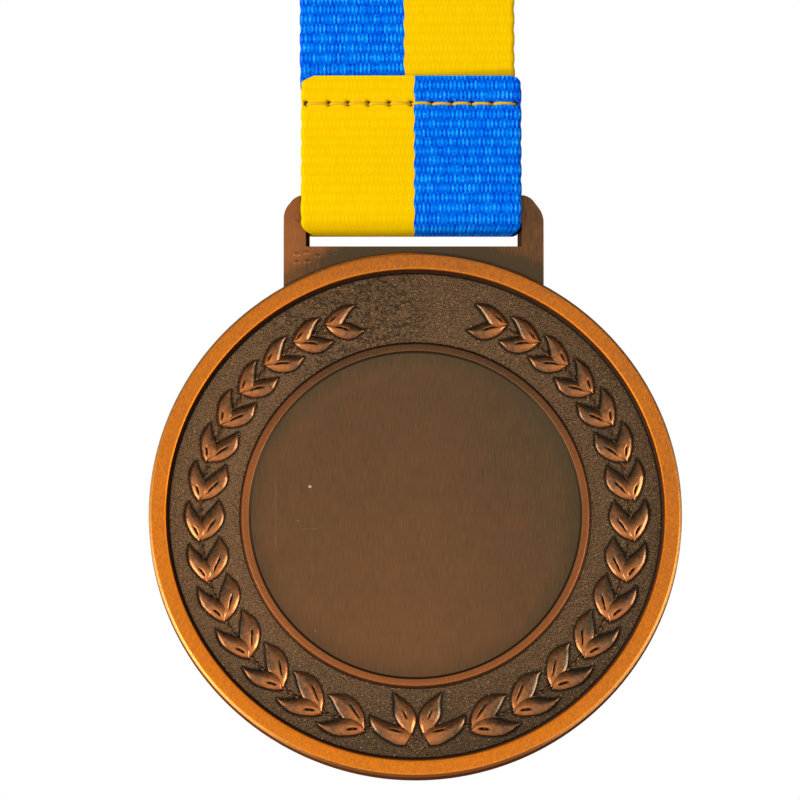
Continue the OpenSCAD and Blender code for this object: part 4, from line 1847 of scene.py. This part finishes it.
        # Painted shadow of the flap's top edge on the strap just above it.
        shadow = 0.0
        if stretch.relief_in:
            above = max(0.0, station.place.z - self.path.flap_top)
            shadow = self.edge_shadow * math.exp(-((above / self.shadow_h) ** 2))
        return (stretched, out - math.copysign(self.hole_depth * pit, out)), max(pit, shadow)

    def _pit(self, station: Station, side: float) -> float:
        """How deep a point of the flap or the back strap lies in a needle hole."""
        if abs(station.place.z - self.seam_z) > 1 or station.turn > 1:
            return 0.0
        x, z = station.place.x + side, station.place.z
        away = min((x - place) ** 2 + (z - self.seam_z - self.hole_rise) ** 2 for place in self.holes)
        return min(1.0, 2.2 * math.exp(-away / self.hole_r**2))

    def _thread(self, name: str, face: int) -> None:
        """Sews a row of stitches on one face of the band.

        Args:
            name: The piece's name.
            face: -1 for the front, 1 for the back.
        """
        skin = self.path.layer_y + self.path.thick / 2 + self.weave.relief
        line = []
        for a, b in zip(self.holes, self.holes[1:]):
            for step in range(self.stitch_steps):
                u = step / self.stitch_steps
                lift = self.stitch_h - self.stitch_dive * abs(2 * u - 1) ** 3.4
                rise = self.stitch_bow * math.sin(math.pi * u) ** 0.5
                rise += self.stitch_stray * math.sin(9 * a)
                line.append(Vector(
                    (mix(a, b, u), face * (skin + self.thread_r * lift), self.seam_z + rise)))
        line.append(Vector((self.holes[-1], face * (skin - 1.8 * self.thread_r), self.seam_z)))
        bm = bmesh.new()
        last, sides = len(line) - 1, 8
        bmesh.ops.create_grid(bm, x_segments=last, y_segments=sides, size=1)
        for vert in bm.verts:
            row, _ = grid_place(vert, last, sides)
            turn = math.pi * (vert.co.y + 1)
            heading = (line[min(row + 1, last)] - line[max(row - 1, 0)]).normalized()
            up = (Vector((0, 0, 1)) - heading.z * heading).normalized()
            side = math.cos(turn) * up + math.sin(turn) * heading.cross(up)
            vert.co = line[row] + self.thread_r * side
        close_tube(bm)
        make_piece(name, bm, self.datum.hanging(), [self._thread_look()], Body.RIBBON, 60)

    def _thread_look(self) -> bpy.types.Material:
        """Golden sewing thread of twisted fibres."""
        shade = Shade("seam_thread", self.datum)
        x, _, z = shade.split(shade.place())
        ply = shade.math("SINE", shade.math("MULTIPLY_ADD", z, 26.0, shade.math("MULTIPLY", x, 22.0)))
        ply = shade.math("MULTIPLY_ADD", ply, 0.5, 0.5)
        shade.set(Base_Color=shade.blend(ply, screen(222, 156, 6), screen(254, 218, 50)),
                  Roughness=0.6, Specular_IOR_Level=0.1)
        shade.bump(ply, 0.05, 0.6)
        return shade.material


class Seen(Enum):
    """What a lamp lights: dull surfaces such as cloth, or gloss, as a white board does."""

    CLOTH = "cloth"
    GLOSS = "gloss"


@dataclass(frozen=True)
class Lamp:
    """A soft square lamp, aimed at the medal.

    Attributes:
        name: The lamp's name.
        place: Its place from the disc's centre, in millimetres.
        size: Its side in millimetres.
        power: Its power in watts.
        seen: What it lights.
    """

    name: str
    place: tuple[float, float, float]
    size: float
    power: float
    seen: Seen


@dataclass
class Studio:
    """Camera, lamps, pale floor and white surroundings.

    Attributes:
        datum: Where the medal is.
        view_width: Width of the photograph's view at the medal, in millimetres.
        aim: What the middle of the photograph shows, from the disc's centre.
        tilt: The camera's elevation in degrees.
        distance: The camera's distance from there.
        floor_z: Height of the floor in metres.
        cloth_light: Strength of the surroundings on dull surfaces.
        metal_light: Strength of the surroundings in gloss.
        sweep: Their level in gloss from straight below at 0 to straight above at 1.
        lamps: The lamps.
    """

    datum: Datum
    view_width: float = 97.6
    aim: tuple[float, float, float] = (-1.87, -1.9, 14.1)
    tilt: float = -10.7
    distance: float = 1800.0
    floor_z: float = -1.7
    cloth_light: float = 0.32
    metal_light: float = 2.0
    sweep: tuple[tuple[float, float], ...] = (
        (0.0, 0.3), (0.15, 0.45), (0.3, 0.6), (0.42, 0.5), (0.6, 0.44), (0.7, 0.22), (1.0, 0.04))
    lamps: tuple[Lamp, ...] = (
        Lamp("key", (-240, -480, 30), 320, 2.1, Seen.CLOTH),
        Lamp("left", (-520, -260, -80), 300, 1.2, Seen.CLOTH),
        Lamp("left_board", (-430, -200, -170), 220, 0.9, Seen.GLOSS),
        Lamp("right_board", (440, -220, -60), 200, 1.0, Seen.GLOSS),
    )

    def build(self) -> None:
        """Sets the studio up."""
        view = bpy.context.scene.view_settings
        view.view_transform = "Standard"
        view.look = "None"
        self._camera()
        for lamp in self.lamps:
            self._lamp(lamp)
        self._floor()
        self._surroundings()

    def _camera(self) -> None:
        """The photograph's camera."""
        tilt = math.radians(self.tilt)
        back = Vector((0, -math.cos(tilt), math.sin(tilt)))
        data = bpy.data.cameras.new("camera")
        data.lens = data.sensor_width * self.distance / self.view_width
        data.clip_start = 0.01
        camera = put_in_scene("camera", data)
        camera.location = self.datum.hanging() @ (Vector(self.aim) + self.distance * back)
        look_along(camera, -back)
        bpy.context.scene.camera = camera

    def _lamp(self, lamp: Lamp) -> None:
        """Adds one lamp."""
        data = bpy.data.lights.new(lamp.name, "AREA")
        data.size = lamp.size * MM
        data.energy = lamp.power
        made = put_in_scene(lamp.name, data)
        made.visible_diffuse = lamp.seen is Seen.CLOTH
        made.visible_glossy = lamp.seen is Seen.GLOSS
        place = Vector(lamp.place)
        made.location = self.datum.hanging() @ place
        look_along(made, -place)

    def _floor(self) -> None:
        """A wide pale floor far below the hanging medal."""
        bm = bmesh.new()
        bmesh.ops.create_grid(bm, x_segments=1, y_segments=1, size=12)
        bmesh.ops.translate(bm, vec=(0, 0, self.floor_z), verts=bm.verts)
        mesh = bpy.data.meshes.new("floor")
        bm.to_mesh(mesh)
        bm.free()
        shade = Shade("floor_pale", self.datum)
        shade.set(Base_Color=screen(240, 240, 240), Roughness=0.8)
        mesh.materials.append(shade.material)
        floor = put_in_scene("floor", mesh)
        floor.visible_glossy = False

    def _surroundings(self) -> None:
        """White to look at, soft light from above on the cloth, and a white sweep for the metal."""
        world = bpy.data.worlds.new("surroundings")
        world.use_nodes = True
        bpy.context.scene.world = world
        tree = world.node_tree
        tree.nodes.clear()

        def add(kind: str, *links: tuple[int, Socket]) -> bpy.types.Node:
            """Adds a node with its inputs linked."""
            made = tree.nodes.new(kind)
            for index, source in links:
                tree.links.new(source, made.inputs[index])
            return made

        def sky(stops: Sequence[tuple[float, float]], strength: float) -> Socket:
            """Grey light whose level follows the height of the direction that it comes from."""
            made = add("ShaderNodeValToRGB", (0, height.outputs[0]))
            fill_ramp(made.color_ramp, [(position, (level,) * 3) for position, level in stops])
            light = add("ShaderNodeBackground", (0, made.outputs[0]))
            light.inputs["Strength"].default_value = strength
            return light.outputs[0]

        place = add("ShaderNodeTexCoord")
        parts = add("ShaderNodeSeparateXYZ", (0, place.outputs["Generated"]))
        height = add("ShaderNodeMapRange", (0, parts.outputs["Z"]))
        height.inputs["From Min"].default_value = -1.0
        ray = add("ShaderNodeLightPath")
        cloth = sky(((0.0, 0.2), (1.0, 1.0)), self.cloth_light)
        metal = sky(self.sweep, self.metal_light)
        lit = add("ShaderNodeMixShader", (0, ray.outputs["Is Diffuse Ray"]), (1, metal), (2, cloth))
        white = add("ShaderNodeBackground")
        white.inputs["Color"].default_value = (1, 1, 1, 1)
        seen = add("ShaderNodeMixShader", (0, ray.outputs["Is Camera Ray"]), (1, lit.outputs[0]),
                   (2, white.outputs[0]))
        add("ShaderNodeOutputWorld", (0, seen.outputs[0]))


def main() -> None:
    """Reads the medal's sizes, dresses the medal, the wreath and the ribbon and sets the studio up."""
    logging.basicConfig(level=logging.INFO, format="%(name)s: %(message)s")
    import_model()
    datum = Datum.from_frame()
    leaf_edges = Wreath(datum).build()
    disc = Disc(datum)
    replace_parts(disc.build(leaf_edges), "medal")
    disc.marks()
    lug = Lug(datum)
    lug.build()
    Ribbon(datum, BandPath(datum), lug).build()
    Studio(datum).build()


if __name__ == "__main__":
    main()
